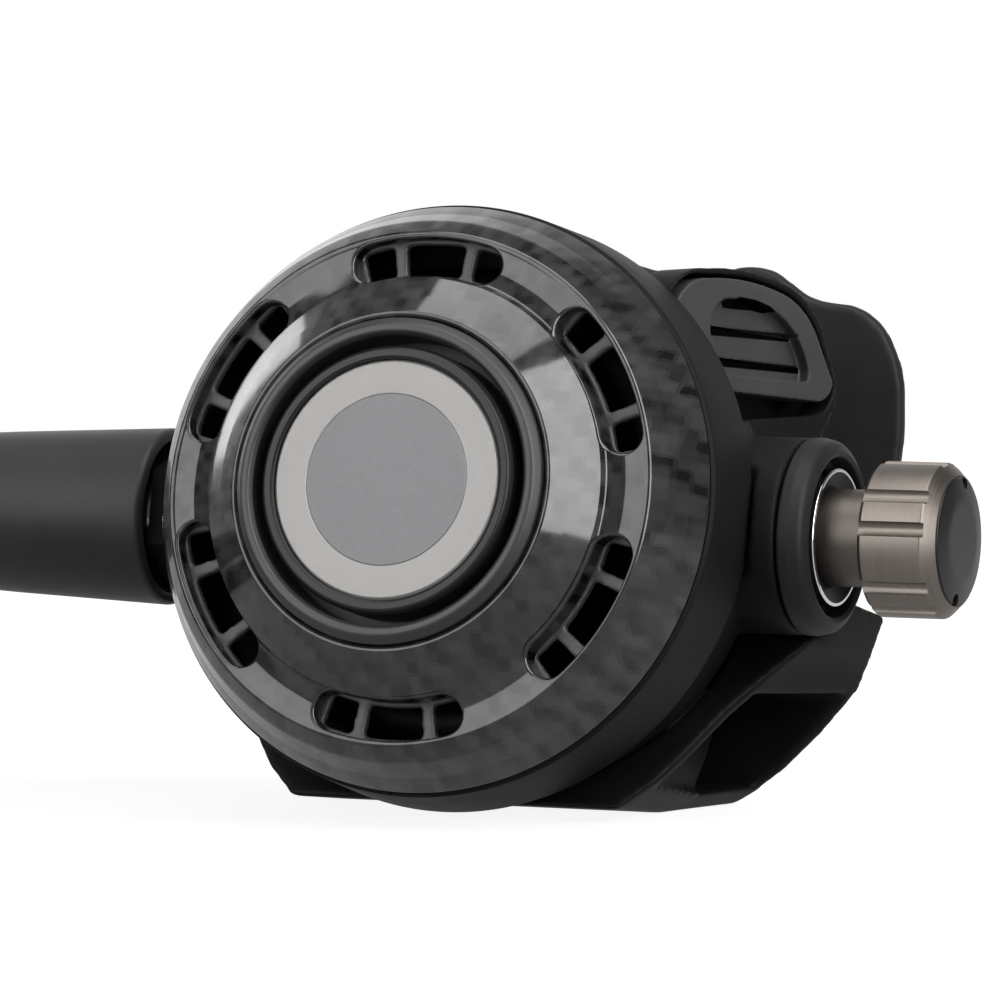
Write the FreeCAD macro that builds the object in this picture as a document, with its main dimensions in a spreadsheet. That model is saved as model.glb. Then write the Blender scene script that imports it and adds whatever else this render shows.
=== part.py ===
"""Scuba regulator second stage with its hose, drawn in millimetres.

The valve frame has its origin where the barrel axis meets the cover axis: X runs along the
barrel, Y runs back through the cover and Z runs up the cover. The whole second stage leans
back on the foot of the exhaust tee, so the valve frame is tilted in the part's own frame.
"""
import math
import os

import FreeCAD
import Part
import Sketcher

doc = FreeCAD.newDocument("regulator")
sheet = doc.addObject("Spreadsheet::Sheet", "Sizes")

AXIS_OF_COVER = "V_Axis"
AXIS_OF_BARREL = "H_Axis"
FULL_TURN = 360
QUARTER_TURN = 90
pieces = []


class Size:
    """A number together with the sheet expression that gives it."""

    def __init__(self, text, value):
        self.text = text
        self.value = value

    def joined(self, other, sign, value):
        return Size("(%s %s %s)" % (self.text, sign, other.text), value)

    def __add__(self, other):
        other = as_size(other)
        return self.joined(other, "+", self.value + other.value)

    def __radd__(self, other):
        return as_size(other) + self

    def __sub__(self, other):
        other = as_size(other)
        return self.joined(other, "-", self.value - other.value)

    def __rsub__(self, other):
        return as_size(other) - self

    def __mul__(self, other):
        other = as_size(other)
        return self.joined(other, "*", self.value * other.value)

    def __rmul__(self, other):
        return as_size(other) * self

    def __truediv__(self, other):
        other = as_size(other)
        return self.joined(other, "/", self.value / other.value)

    def __neg__(self):
        return Size("(0 - %s)" % self.text, -self.value)


def as_size(number):
    """Let a plain count or nought stand in a sum of sizes."""
    if isinstance(number, Size):
        return number
    return Size(repr(number), number)


def cosine(angle):
    angle = as_size(angle)
    return Size("cos(%s)" % angle.text, math.cos(math.radians(angle.value)))


def sine(angle):
    angle = as_size(angle)
    return Size("sin(%s)" % angle.text, math.sin(math.radians(angle.value)))


def root(number):
    return Size("sqrt(%s)" % number.text, math.sqrt(number.value))


class Dimensions:
    """Every driving size, written once in the sheet and read back by its name."""

    def __init__(self):
        self.rows = 0

    def add(self, name, value, meaning):
        self.rows += 1
        sheet.set("A%d" % self.rows, name)
        sheet.set("B%d" % self.rows, repr(value))
        sheet.set("C%d" % self.rows, meaning)
        sheet.setAlias("B%d" % self.rows, name)
        setattr(self, name, Size("Sizes." + name, value))


d = Dimensions()


def bind(thing, path, value):
    """Drive one property of an object by a size."""
    thing.setExpression(path, as_size(value).text)


def stand(thing, tilt, back, height):
    """Place an object by turning it back about X and moving it."""
    start = FreeCAD.Rotation(FreeCAD.Vector(-1, 0, 0), as_size(tilt).value)
    thing.Placement = FreeCAD.Placement(FreeCAD.Vector(0, 0, 0), start)
    bind(thing, "Placement.Rotation.Angle", tilt)
    bind(thing, "Placement.Base.y", back)
    bind(thing, "Placement.Base.z", height)


def new_body(name):
    """Start a part in the tilted valve frame."""
    body = doc.addObject("PartDesign::Body", name)
    body.Label = name
    stand(body, d.lean_angle, d.axis_setback, d.axis_height)
    return body


def level_body(name, height):
    """Start a part that keeps level with the ground."""
    body = doc.addObject("PartDesign::Body", name)
    body.Label = name
    stand(body, 0, d.axis_setback, height)
    return body


def keep(thing, name):
    """Put a finished solid on the list of pieces to export."""
    thing.Label = name
    pieces.append((name, thing))


def new_sketch(body, name, role, distance=0):
    """Attach a sketch to a plane of its own body, moved along the plane's normal."""
    sketch = body.newObject("Sketcher::SketchObject", name)
    planes = [item for item in body.Origin.OriginFeatures if item.Role == role]
    sketch.AttachmentSupport = [(planes[0], "")]
    sketch.MapMode = "FlatFace"
    bind(sketch, "AttachmentOffset.Base.z", distance)
    return sketch


def arc_between(start, end, radius):
    """The shorter arc from start to end; a positive radius turns left."""
    chord = end - start
    middle = start + chord * 0.5
    left = FreeCAD.Vector(-chord.y, chord.x, 0)
    left.normalize()
    reach = math.sqrt(max(radius * radius - chord.Length * chord.Length / 4, 0))
    centre = middle + left * math.copysign(reach, radius)
    first = start if radius > 0 else end
    last = end if radius > 0 else start
    begin = math.atan2(first.y - centre.y, first.x - centre.x)
    finish = math.atan2(last.y - centre.y, last.x - centre.x)
    circle = Part.Circle(centre, FreeCAD.Vector(0, 0, 1), abs(radius))
    return Part.ArcOfCircle(circle, begin, finish)


def fix_point(sketch, rules, values, item, end, x_value, y_value):
    """Hold a point of the sketch at its two sizes."""
    for kind, axis, value in (("DistanceX", -2, x_value), ("DistanceY", -1, y_value)):
        value = as_size(value)
        if value.value == 0:
            rules.append(Sketcher.Constraint("PointOnObject", item, end, axis))
            values.append(None)
        elif value.value > 0:
            rules.append(Sketcher.Constraint(kind, -1, 1, item, end, value.value))
            values.append(value)
        else:
            rules.append(Sketcher.Constraint(kind, item, end, -1, 1, -value.value))
            values.append(-value)


def give_rules(sketch, rules, values):
    """Add the constraints in one go and drive the sized ones from the sheet."""
    first = sketch.ConstraintCount
    sketch.addConstraint(rules)
    for place, value in enumerate(values):
        if value is not None:
            bind(sketch, "Constraints[%d]" % (first + place), value)


def outline(sketch, vertices):
    """Close a profile; a vertex with a third value is reached by an arc of that radius."""
    points = []
    for vertex in vertices:
        points.append(FreeCAD.Vector(as_size(vertex[0]).value, as_size(vertex[1]).value, 0))
    shapes = []
    ends = []
    for place, vertex in enumerate(vertices):
        if len(vertex) > 2:
            shapes.append(arc_between(points[place - 1], points[place], as_size(vertex[2]).value))
            ends.append((1, 2) if as_size(vertex[2]).value > 0 else (2, 1))
        else:
            shapes.append(Part.LineSegment(points[place - 1], points[place]))
            ends.append((1, 2))
    first = sketch.GeometryCount
    sketch.addGeometry(shapes, False)
    rules = []
    values = []
    for place, vertex in enumerate(vertices):
        following = (place + 1) % len(vertices)
        rules.append(Sketcher.Constraint(
            "Coincident", first + place, ends[place][1], first + following, ends[following][0]))
        values.append(None)
        fix_point(sketch, rules, values, first + place, ends[place][1], vertex[0], vertex[1])
        if len(vertex) > 2:
            radius = as_size(vertex[2])
            radius = radius if radius.value > 0 else -radius
            rules.append(Sketcher.Constraint("Radius", first + place, radius.value))
            values.append(radius)
    give_rules(sketch, rules, values)


def circle_in(sketch, x_value, y_value, radius):
    """Draw a circle held by its centre and its radius."""
    centre = FreeCAD.Vector(as_size(x_value).value, as_size(y_value).value, 0)
    item = sketch.GeometryCount
    sketch.addGeometry(Part.Circle(centre, FreeCAD.Vector(0, 0, 1), radius.value), False)
    rules = []
    values = []
    fix_point(sketch, rules, values, item, 3, x_value, y_value)
    rules.append(Sketcher.Constraint("Radius", item, radius.value))
    values.append(radius)
    give_rules(sketch, rules, values)


def polar(radius, angle):
    """A point at a distance and an angle from the sketch's origin."""
    return radius * cosine(angle), radius * sine(angle)


def sector(sketch, inner, outer, start, end):
    """Draw a curved slot between two radii and two angles."""
    outline(sketch, [
        polar(inner, start) + (-inner,),
        polar(outer, start),
        polar(outer, end) + (outer,),
        polar(inner, end),
    ])


def round_slot(sketch, inner, outer, half_angle):
    """Draw a curved slot with round ends about the sketch's vertical axis."""
    middle = as_size(QUARTER_TURN)
    start = middle - half_angle
    end = middle + half_angle
    cap = (outer - inner) * d.slot_end_share
    outline(sketch, [
        polar(inner, start) + (-inner,),
        polar(outer, start) + (cap,),
        polar(outer, end) + (outer,),
        polar(inner, end) + (cap,),
    ])


def hexagon(sketch, corner_radius):
    """Draw a hexagon with two corners on the sketch's vertical axis."""
    side = corner_radius / 2
    half_flat = corner_radius * root(as_size(3)) / 2
    outline(sketch, [
        (0, corner_radius),
        (-half_flat, side),
        (-half_flat, -side),
        (0, -corner_radius),
        (half_flat, -side),
        (half_flat, side),
    ])


def stadium(sketch, half_width, half_height, centre_height=0):
    """Draw a slot shape with round ends, wider than it is tall."""
    flat = half_width - half_height
    top = centre_height + half_height
    bottom = centre_height - half_height
    outline(sketch, [
        (flat, bottom),
        (half_width, as_size(centre_height), half_height),
        (flat, top, half_height),
        (-flat, top),
        (-half_width, as_size(centre_height), half_height),
        (-flat, bottom, half_height),
    ])


def feature(body, kind, sketch, name):
    """Add one feature made from a sketch and make it the body's last."""
    made = body.newObject("PartDesign::" + kind, name)
    made.Profile = sketch
    sketch.Visibility = False
    return made


def revolve(body, sketch, axis):
    made = feature(body, "Revolution", sketch, "turned")
    made.ReferenceAxis = (sketch, [axis])
    made.Angle = FULL_TURN
    return made


def groove(body, sketch, axis):
    made = feature(body, "Groove", sketch, "turned_away")
    made.ReferenceAxis = (sketch, [axis])
    made.Angle = FULL_TURN
    return made


def pad(body, sketch, length, reverse=False, both=False):
    made = feature(body, "Pad", sketch, "padded")
    made.Reversed = reverse
    made.Midplane = both
    bind(made, "Length", length)
    return made


def pocket(body, sketch, length, reverse=False, both=False):
    made = feature(body, "Pocket", sketch, "cut")
    made.Reversed = reverse
    made.Midplane = both
    bind(made, "Length", length)
    return made


def repeat(body, made, sketch, axis, count):
    """Repeat a feature evenly about an axis of its sketch."""
    pattern = body.newObject("PartDesign::PolarPattern", "repeated")
    pattern.Originals = [made]
    pattern.Axis = (sketch, [axis])
    pattern.Angle = FULL_TURN
    pattern.Occurrences = count
    body.Tip = pattern
    return pattern


def turned(name, axis, vertices):
    """A part made by turning one outline about the cover axis or the barrel axis."""
    body = new_body(name)
    sketch = new_sketch(body, name + "_outline", "XY_Plane")
    outline(sketch, vertices)
    revolve(body, sketch, axis)
    keep(body, name)
    return body


def sealing_ring(name, axis, station, mean_radius, cord_radius):
    """A round-section seal about the cover axis or the barrel axis."""
    body = new_body(name)
    sketch = new_sketch(body, name + "_section", "XY_Plane")
    if axis == AXIS_OF_BARREL:
        circle_in(sketch, station, mean_radius, cord_radius)
    else:
        circle_in(sketch, mean_radius, station, cord_radius)
    revolve(body, sketch, axis)
    keep(body, name)
    return body


def spring(name, axis, start, end, mean_radius, wire_radius, turns):
    """A coil spring between two stations, with its end turns kept inside them."""
    body = new_body(name)
    sketch = new_sketch(body, name + "_section", "XY_Plane")
    first = start + wire_radius
    if axis == AXIS_OF_BARREL:
        circle_in(sketch, first, mean_radius, wire_radius)
    else:
        circle_in(sketch, mean_radius, first, wire_radius)
    coil = feature(body, "AdditiveHelix", sketch, "coil")
    coil.ReferenceAxis = (sketch, [axis])
    coil.Mode = "pitch-turns-angle"
    bind(coil, "Turns", turns)
    bind(coil, "Pitch", (end - start - 2 * wire_radius) / turns)
    keep(body, name)
    return body


def common_sizes():
    d.add("lean_angle", 12.5, "second stage leaning back on its foot, degrees")
    d.add("axis_height", 36.0, "barrel axis above the ground")
    d.add("axis_setback", -6.9, "barrel axis ahead of the middle of the foot")
    d.add("running_fit", 0.05, "radial gap of parts that turn or slide on each other")
    d.add("loose_fit", 0.3, "gap between touching parts that do not move")
    d.add("bead_fit", 0.15, "gap round a snap bead in its groove")
    d.add("edge_break", 0.2, "small broken edge")


def make_badge():
    d.add("badge_radius", 15.2, "plain badge")
    d.add("badge_front", -38.4, "front of the badge")
    d.add("badge_thickness", 0.7, "badge sheet")
    d.add("badge_groove_radius", 10.9, "groove between the badge's ring and its middle")
    d.add("badge_groove_width", 0.3, "width of that groove")
    d.add("badge_groove_depth", 0.15, "depth of that groove")
    back = d.badge_front + d.badge_thickness
    turned("button_badge", AXIS_OF_COVER, [
        (0, d.badge_front),
        (d.badge_groove_radius, d.badge_front),
        (d.badge_groove_radius, d.badge_front + d.badge_groove_depth),
        (d.badge_groove_radius + d.badge_groove_width, d.badge_front + d.badge_groove_depth),
        (d.badge_groove_radius + d.badge_groove_width, d.badge_front),
        (d.badge_radius - d.edge_break, d.badge_front),
        (d.badge_radius, d.badge_front + d.edge_break),
        (d.badge_radius, back),
        (0, back),
    ])


def make_purge_button():
    d.add("button_crest", -38.7, "front of the button's bezel")
    d.add("bezel_inner_radius", 15.3, "inside of the bezel round the badge")
    d.add("bezel_outer_radius", 17.1, "outside of the button")
    d.add("bezel_round", 0.5, "rounding of the bezel's edges")
    d.add("button_floor", -36.2, "back of the button's front wall")
    d.add("button_wall", 1.6, "side wall of the button")
    d.add("button_flange_radius", 20.0, "flange that keeps the button in")
    d.add("button_flange_front", -32.0, "front of that flange")
    d.add("button_back", -30.6, "back of the flange")
    d.add("stem_radius", 5.2, "stem that reaches the diaphragm")
    d.add("stem_end", -18.1, "end of the stem")
    seat = d.badge_front + d.badge_thickness
    inner = d.bezel_outer_radius - d.button_wall
    turned("purge_button", AXIS_OF_COVER, [
        (0, seat),
        (d.bezel_inner_radius, seat),
        (d.bezel_inner_radius, d.button_crest + d.bezel_round),
        (d.bezel_inner_radius + d.bezel_round, d.button_crest, d.bezel_round),
        (d.bezel_outer_radius - d.bezel_round, d.button_crest),
        (d.bezel_outer_radius, d.button_crest + d.bezel_round, d.bezel_round),
        (d.bezel_outer_radius, d.button_flange_front),
        (d.button_flange_radius, d.button_flange_front),
        (d.button_flange_radius, d.button_back),
        (inner, d.button_back),
        (inner, d.button_floor),
        (d.stem_radius, d.button_floor),
        (d.stem_radius, d.stem_end),
        (0, d.stem_end),
    ])


def make_purge_collar():
    d.add("collar_inner_radius", 18.4, "hole of the collar round the button")
    d.add("collar_outer_radius", 20.7, "outside of the collar")
    d.add("collar_crest", -38.6, "front of the collar")
    d.add("collar_round", 0.9, "rounding of the collar's front")
    d.add("collar_flange_radius", 23.0, "flange behind the cover's lip")
    d.add("collar_flange_front", -33.4, "front of that flange")
    d.add("collar_back", -32.3, "back of the collar")
    turned("purge_collar", AXIS_OF_COVER, [
        (d.collar_inner_radius, d.collar_crest + d.collar_round),
        (d.collar_inner_radius + d.collar_round, d.collar_crest, d.collar_round),
        (d.collar_outer_radius - d.collar_round, d.collar_crest),
        (d.collar_outer_radius, d.collar_crest + d.collar_round, d.collar_round),
        (d.collar_outer_radius, d.collar_flange_front),
        (d.collar_flange_radius, d.collar_flange_front),
        (d.collar_flange_radius, d.collar_back),
        (d.collar_inner_radius, d.collar_back),
    ])


def make_front_cover():
    d.add("lip_radius", 20.78, "hole of the cover round the collar")
    d.add("lip_front", -37.1, "front of the cover's lip")
    d.add("dish_radius", 24.0, "where the dish starts")
    d.add("dish_front", -35.0, "station of the dish's start")
    d.add("dish_edge_radius", 27.2, "where the slotted band starts")
    d.add("dish_edge_front", -32.6, "station of the band's start")
    d.add("band_radius", 29.7, "middle of the slotted band")
    d.add("band_front", -31.3, "station of the band's middle")
    d.add("rim_start_radius", 32.2, "where the rim starts to round over")
    d.add("rim_start_front", -31.0, "station of that start")
    d.add("rim_middle_radius", 36.2, "middle of the rounded rim")
    d.add("rim_middle_front", -27.0, "station of the rim's middle")
    d.add("rim_radius", 37.7, "outside of the cover")
    d.add("rim_back", -22.7, "back edge of the rim")
    d.add("rim_first_round", 7.4, "rounding of the rim's front")
    d.add("rim_second_round", 14.0, "rounding of the rim's side")
    d.add("skirt_radius", 36.4, "skirt inside the retaining ring")
    d.add("skirt_wall", 1.4, "wall of the skirt")
    d.add("skirt_back", -17.6, "end of the skirt")
    d.add("bead_radius", 36.85, "snap beads of cover and case")
    d.add("cover_bead_front", -20.6, "front of the cover's bead")
    d.add("cover_bead_back", -19.8, "back of the cover's bead")
    d.add("cover_under_lip", -33.5, "underside of the lip")
    d.add("lip_pocket_radius", 23.3, "pocket for the collar's flange")
    d.add("lip_pocket_back", -32.4, "end of that pocket")
    d.add("under_band_radius", 26.0, "underside where the band starts")
    d.add("plate_seat_front", -29.3, "underside of the slotted band")
    d.add("plate_seat_radius", 33.15, "pocket for the slot plate")
    d.add("plate_seat_back", -27.6, "end of the slot plate's pocket")
    d.add("rim_inner_radius", 34.8, "inside of the rim")
    d.add("rim_inner_front", -26.0, "station of the rim's inside")
    d.add("slot_inner_radius", 27.1, "inner edge of the slots")
    d.add("slot_outer_radius", 32.0, "outer edge of the slots")
    d.add("slot_half_angle", 15.0, "half of one slot's angle without its round ends, degrees")
    d.add("slot_end_share", 0.52, "radius of a slot's round ends as a share of its width")
    d.add("slot_cut_front", -40.0, "start of the slot cut")
    d.add("slot_cut_back", -28.0, "end of the slot cut")
    d.add("slot_count", 6, "slots round the cover")
    body = new_body("front_cover")
    sketch = new_sketch(body, "cover_outline", "XY_Plane")
    inner = d.skirt_radius - d.skirt_wall
    outline(sketch, [
        (d.lip_radius, d.lip_front),
        (d.dish_radius, d.dish_front),
        (d.dish_edge_radius, d.dish_edge_front),
        (d.band_radius, d.band_front),
        (d.rim_start_radius, d.rim_start_front),
        (d.rim_middle_radius, d.rim_middle_front, d.rim_first_round),
        (d.rim_radius, d.rim_back, d.rim_second_round),
        (d.skirt_radius, d.rim_back),
        (d.skirt_radius, d.cover_bead_front),
        (d.bead_radius, d.cover_bead_front + d.edge_break),
        (d.bead_radius, d.cover_bead_back - d.edge_break),
        (d.skirt_radius, d.cover_bead_back),
        (d.skirt_radius, d.skirt_back),
        (inner, d.skirt_back),
        (d.rim_inner_radius, d.rim_inner_front),
        (d.plate_seat_radius, d.plate_seat_back),
        (d.plate_seat_radius, d.plate_seat_front),
        (d.under_band_radius, d.plate_seat_front),
        (d.lip_pocket_radius, d.lip_pocket_back),
        (d.lip_pocket_radius, d.cover_under_lip),
        (d.lip_radius, d.cover_under_lip),
    ])
    revolve(body, sketch, AXIS_OF_COVER)
    slots = new_sketch(body, "slot_outline", "XZ_Plane", -d.slot_cut_front)
    round_slot(slots, d.slot_inner_radius, d.slot_outer_radius, d.slot_half_angle)
    made = pocket(body, slots, d.slot_cut_back - d.slot_cut_front)
    repeat(body, made, slots, "N_Axis", int(d.slot_count.value))
    keep(body, "front_cover")


def make_slot_plate():
    d.add("plate_front", -29.2, "front of the slot plate")
    d.add("plate_back", -27.9, "back of the slot plate")
    d.add("plate_radius", 33.0, "outside of the slot plate")
    d.add("sunk_front", -27.4, "front of the plate's sunk middle")
    d.add("sunk_back", -26.1, "back of the plate's sunk middle")
    d.add("sunk_radius", 21.6, "outside of the sunk middle, clear of the button's flange")
    d.add("sunk_back_radius", 22.0, "outside of the sunk middle at the back")
    d.add("hub_bore", 5.35, "guide for the button's stem")
    d.add("hub_radius", 8.2, "hub of the slot plate")
    d.add("hub_back", -24.2, "end of the hub")
    d.add("window_inner_radius", 27.5, "inner edge of the slot windows")
    d.add("window_outer_radius", 31.6, "outer edge of the slot windows")
    d.add("web_near_angle", 7.4, "near side of a web, degrees")
    d.add("web_far_angle", 10.6, "far side of a web, degrees")
    d.add("window_end_angle", 18.2, "end of the outer windows, degrees")
    d.add("vent_inner_radius", 10.5, "inner edge of the air windows")
    d.add("vent_outer_radius", 24.5, "outer edge of the air windows")
    d.add("vent_half_angle", 24.0, "half angle of one air window, degrees")
    body = new_body("slot_plate")
    sketch = new_sketch(body, "plate_outline", "XY_Plane")
    rise = d.sunk_front - d.plate_front
    outline(sketch, [
        (d.hub_bore, d.sunk_front),
        (d.sunk_radius, d.sunk_front),
        (d.sunk_radius + rise, d.plate_front),
        (d.plate_radius, d.plate_front),
        (d.plate_radius, d.plate_back),
        (d.sunk_back_radius + rise, d.plate_back),
        (d.sunk_back_radius, d.sunk_back),
        (d.hub_radius, d.sunk_back),
        (d.hub_radius, d.hub_back),
        (d.hub_bore, d.hub_back),
    ])
    revolve(body, sketch, AXIS_OF_COVER)
    windows = new_sketch(body, "window_outline", "XZ_Plane", -d.slot_cut_front)
    quarter = as_size(QUARTER_TURN)
    for start, end in ((-d.window_end_angle, -d.web_far_angle),
                       (-d.web_near_angle, d.web_near_angle),
                       (d.web_far_angle, d.window_end_angle)):
        sector(windows, d.window_inner_radius, d.window_outer_radius, quarter + start, quarter + end)
    sector(windows, d.vent_inner_radius, d.vent_outer_radius,
           quarter - d.vent_half_angle, quarter + d.vent_half_angle)
    made = pocket(body, windows, d.hub_back - d.slot_cut_front)
    repeat(body, made, windows, "N_Axis", int(d.slot_count.value))
    keep(body, "slot_plate")


def make_retaining_ring():
    d.add("ring_front", -22.6, "front of the retaining ring")
    d.add("ring_back", -10.5, "back of the retaining ring")
    d.add("ring_front_radius", 37.95, "outside at the front")
    d.add("ring_back_radius", 38.44, "outside at the back")
    d.add("ring_bore", 36.5, "inside of the ring")
    d.add("ring_edge", 0.5, "broken front edge")
    d.add("case_bead_front", -13.6, "front of the case's bead")
    d.add("case_bead_back", -12.8, "back of the case's bead")
    d.add("notch_half_width", 2.8, "half width of the opening notch")
    d.add("notch_depth", 0.6, "depth of the notch behind the front edge")
    d.add("notch_top", -36.0, "inner limit of the notch cut")
    d.add("notch_bottom", -40.0, "outer limit of the notch cut")
    groove_radius = d.bead_radius + d.bead_fit
    body = new_body("retaining_ring")
    sketch = new_sketch(body, "ring_outline", "XY_Plane")
    outline(sketch, [
        (d.ring_bore, d.ring_front),
        (d.ring_front_radius - d.ring_edge, d.ring_front),
        (d.ring_front_radius, d.ring_front + d.ring_edge),
        (d.ring_back_radius, d.ring_back),
        (d.ring_bore, d.ring_back),
        (d.ring_bore, d.case_bead_back + d.bead_fit),
        (groove_radius, d.case_bead_back),
        (groove_radius, d.case_bead_front),
        (d.ring_bore, d.case_bead_front - d.bead_fit),
        (d.ring_bore, d.cover_bead_back + d.bead_fit),
        (groove_radius, d.cover_bead_back),
        (groove_radius, d.cover_bead_front),
        (d.ring_bore, d.cover_bead_front - d.bead_fit),
    ])
    revolve(body, sketch, AXIS_OF_COVER)
    notch = new_sketch(body, "notch_outline", "XZ_Plane", -d.ring_front)
    outline(notch, [
        (-d.notch_half_width, d.notch_bottom),
        (d.notch_half_width, d.notch_bottom),
        (d.notch_half_width, d.notch_top),
        (-d.notch_half_width, d.notch_top),
    ])
    pocket(body, notch, d.notch_depth)
    keep(body, "retaining_ring")


def make_diaphragm():
    d.add("diaphragm_front", -17.5, "front of the diaphragm's bead")
    d.add("diaphragm_back", -15.9, "back of the diaphragm's bead")
    d.add("diaphragm_radius", 36.2, "outside of the bead")
    d.add("diaphragm_bead_inner", 34.4, "inside of the bead")
    d.add("web_front", -16.9, "front of the thin web")
    d.add("web_thickness", 0.6, "thickness of the web")
    d.add("roll_outer_radius", 31.0, "outer foot of the rolling fold")
    d.add("roll_inner_radius", 24.0, "inner foot of the rolling fold")
    d.add("roll_radius", 4.2, "radius of the fold's front")
    d.add("disc_radius", 17.0, "stiff disc in the middle")
    d.add("disc_front", -17.7, "front of the stiff disc")
    d.add("disc_back", -16.95, "back of the stiff disc")
    d.add("disc_dimple_radius", 5.5, "dimple that meets the stem")
    d.add("disc_dimple_depth", 0.2, "depth of the dimple")
    back = d.web_front + d.web_thickness
    turned("diaphragm", AXIS_OF_COVER, [
        (0, d.web_front),
        (d.roll_inner_radius, d.web_front),
        (d.roll_outer_radius, d.web_front, d.roll_radius),
        (d.diaphragm_bead_inner, d.web_front),
        (d.diaphragm_bead_inner, d.diaphragm_front),
        (d.diaphragm_radius, d.diaphragm_front),
        (d.diaphragm_radius, d.diaphragm_back),
        (d.diaphragm_bead_inner, d.diaphragm_back),
        (d.diaphragm_bead_inner, back),
        (d.roll_outer_radius, back),
        (d.roll_inner_radius, back, -d.roll_radius),
        (0, back),
    ])
    turned("diaphragm_disc", AXIS_OF_COVER, [
        (0, d.disc_front + d.disc_dimple_depth),
        (d.disc_dimple_radius, d.disc_front + d.disc_dimple_depth),
        (d.disc_dimple_radius, d.disc_front),
        (d.disc_radius, d.disc_front),
        (d.disc_radius, d.disc_back),
        (0, d.disc_back),
    ])


def make_purge_spring():
    d.add("purge_spring_radius", 6.4, "mean radius of the button's spring")
    d.add("purge_spring_wire", 0.35, "radius of its wire")
    d.add("purge_spring_turns", 4, "turns of the spring")
    spring("purge_spring", AXIS_OF_COVER, d.button_floor, d.sunk_front,
           d.purge_spring_radius, d.purge_spring_wire, d.purge_spring_turns)


def flow_plane_sketch(body, name, distance):
    """Attach a sketch to the upright plane of the flow lever, whose normal faces outward."""
    sketch = new_sketch(body, name, "XZ_Plane")
    angle = d.flow_plane_angle
    start = FreeCAD.Rotation(FreeCAD.Vector(0, 1, 0), angle.value)
    sketch.AttachmentOffset = FreeCAD.Placement(FreeCAD.Vector(0, 0, 0), start)
    bind(sketch, "AttachmentOffset.Rotation.Angle", angle)
    bind(sketch, "AttachmentOffset.Base.x", d.flow_plane_x + distance * sine(angle))
    bind(sketch, "AttachmentOffset.Base.z", distance * cosine(angle) - d.flow_plane_y)
    return sketch


def mouth_sketch(body, name, distance):
    """Attach a sketch square to the mouth axis, which leans up in the valve frame."""
    sketch = new_sketch(body, name, "XZ_Plane")
    start = FreeCAD.Rotation(FreeCAD.Vector(1, 0, 0), d.lean_angle.value)
    sketch.AttachmentOffset = FreeCAD.Placement(FreeCAD.Vector(0, 0, 0), start)
    bind(sketch, "AttachmentOffset.Rotation.Angle", d.lean_angle)
    along_y = distance * cosine(d.lean_angle)
    along_z = distance * sine(d.lean_angle)
    bind(sketch, "AttachmentOffset.Base.y", d.mouth_root_z + along_z)
    bind(sketch, "AttachmentOffset.Base.z", -(d.mouth_root_y + along_y))
    return sketch


def flow_sizes():
    d.add("flow_plane_angle", 69.6, "turn of the lever's plane away from the front, degrees")
    d.add("flow_plane_x", 27.0, "point of the lever's plane, along the barrel")
    d.add("flow_plane_y", -4.0, "the same point, along the cover axis")
    d.add("flow_left", -5.2, "left end of the lever")
    d.add("flow_left_low", 18.3, "height of the left end's foot")
    d.add("flow_left_high", 28.4, "height of the left end's top")
    d.add("flow_top_start", 0.6, "where the top edge starts")
    d.add("flow_top_start_height", 32.5, "its height")
    d.add("flow_top_end", 14.6, "where the top edge ends")
    d.add("flow_top_end_height", 33.0, "its height")
    d.add("flow_shoulder", 22.3, "shoulder of the lever")
    d.add("flow_shoulder_height", 28.3, "its height")
    d.add("flow_tip", 25.9, "rounded tip of the lever")
    d.add("flow_tip_height", 23.2, "its height")
    d.add("flow_foot_end", 23.6, "right end of the bottom edge")
    d.add("flow_foot_end_height", 20.3, "its height")
    d.add("flow_foot_middle", 7.2, "middle of the bottom edge")
    d.add("flow_foot_middle_height", 18.8, "its height")
    d.add("flow_corner", 7.0, "rounding of the lever's top left corner")
    d.add("flow_crown", 40.0, "crown of the lever's top edge")
    d.add("flow_shoulder_round", 11.0, "rounding of the lever's shoulder")
    d.add("flow_tip_round", 3.4, "rounding of the lever's tip")
    d.add("flow_thickness", 4.6, "thickness of the lever")
    d.add("flow_gap", 0.45, "gap round the lever in its housing")
    d.add("shelf_left", -6.2, "left end of the shelf under the lever")
    d.add("shelf_left_height", 12.2, "its height")
    d.add("shelf_right", 23.5, "right end of the shelf")
    d.add("shelf_right_height", 18.5, "its height")
    d.add("flow_pivot", 20.6, "pivot of the lever")
    d.add("flow_pivot_height", 21.9, "height of the pivot")
    d.add("mouth_root_y", 16.0, "root of the mouth tube along the cover axis")
    d.add("mouth_root_z", 12.3, "its height above the barrel axis")


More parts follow.
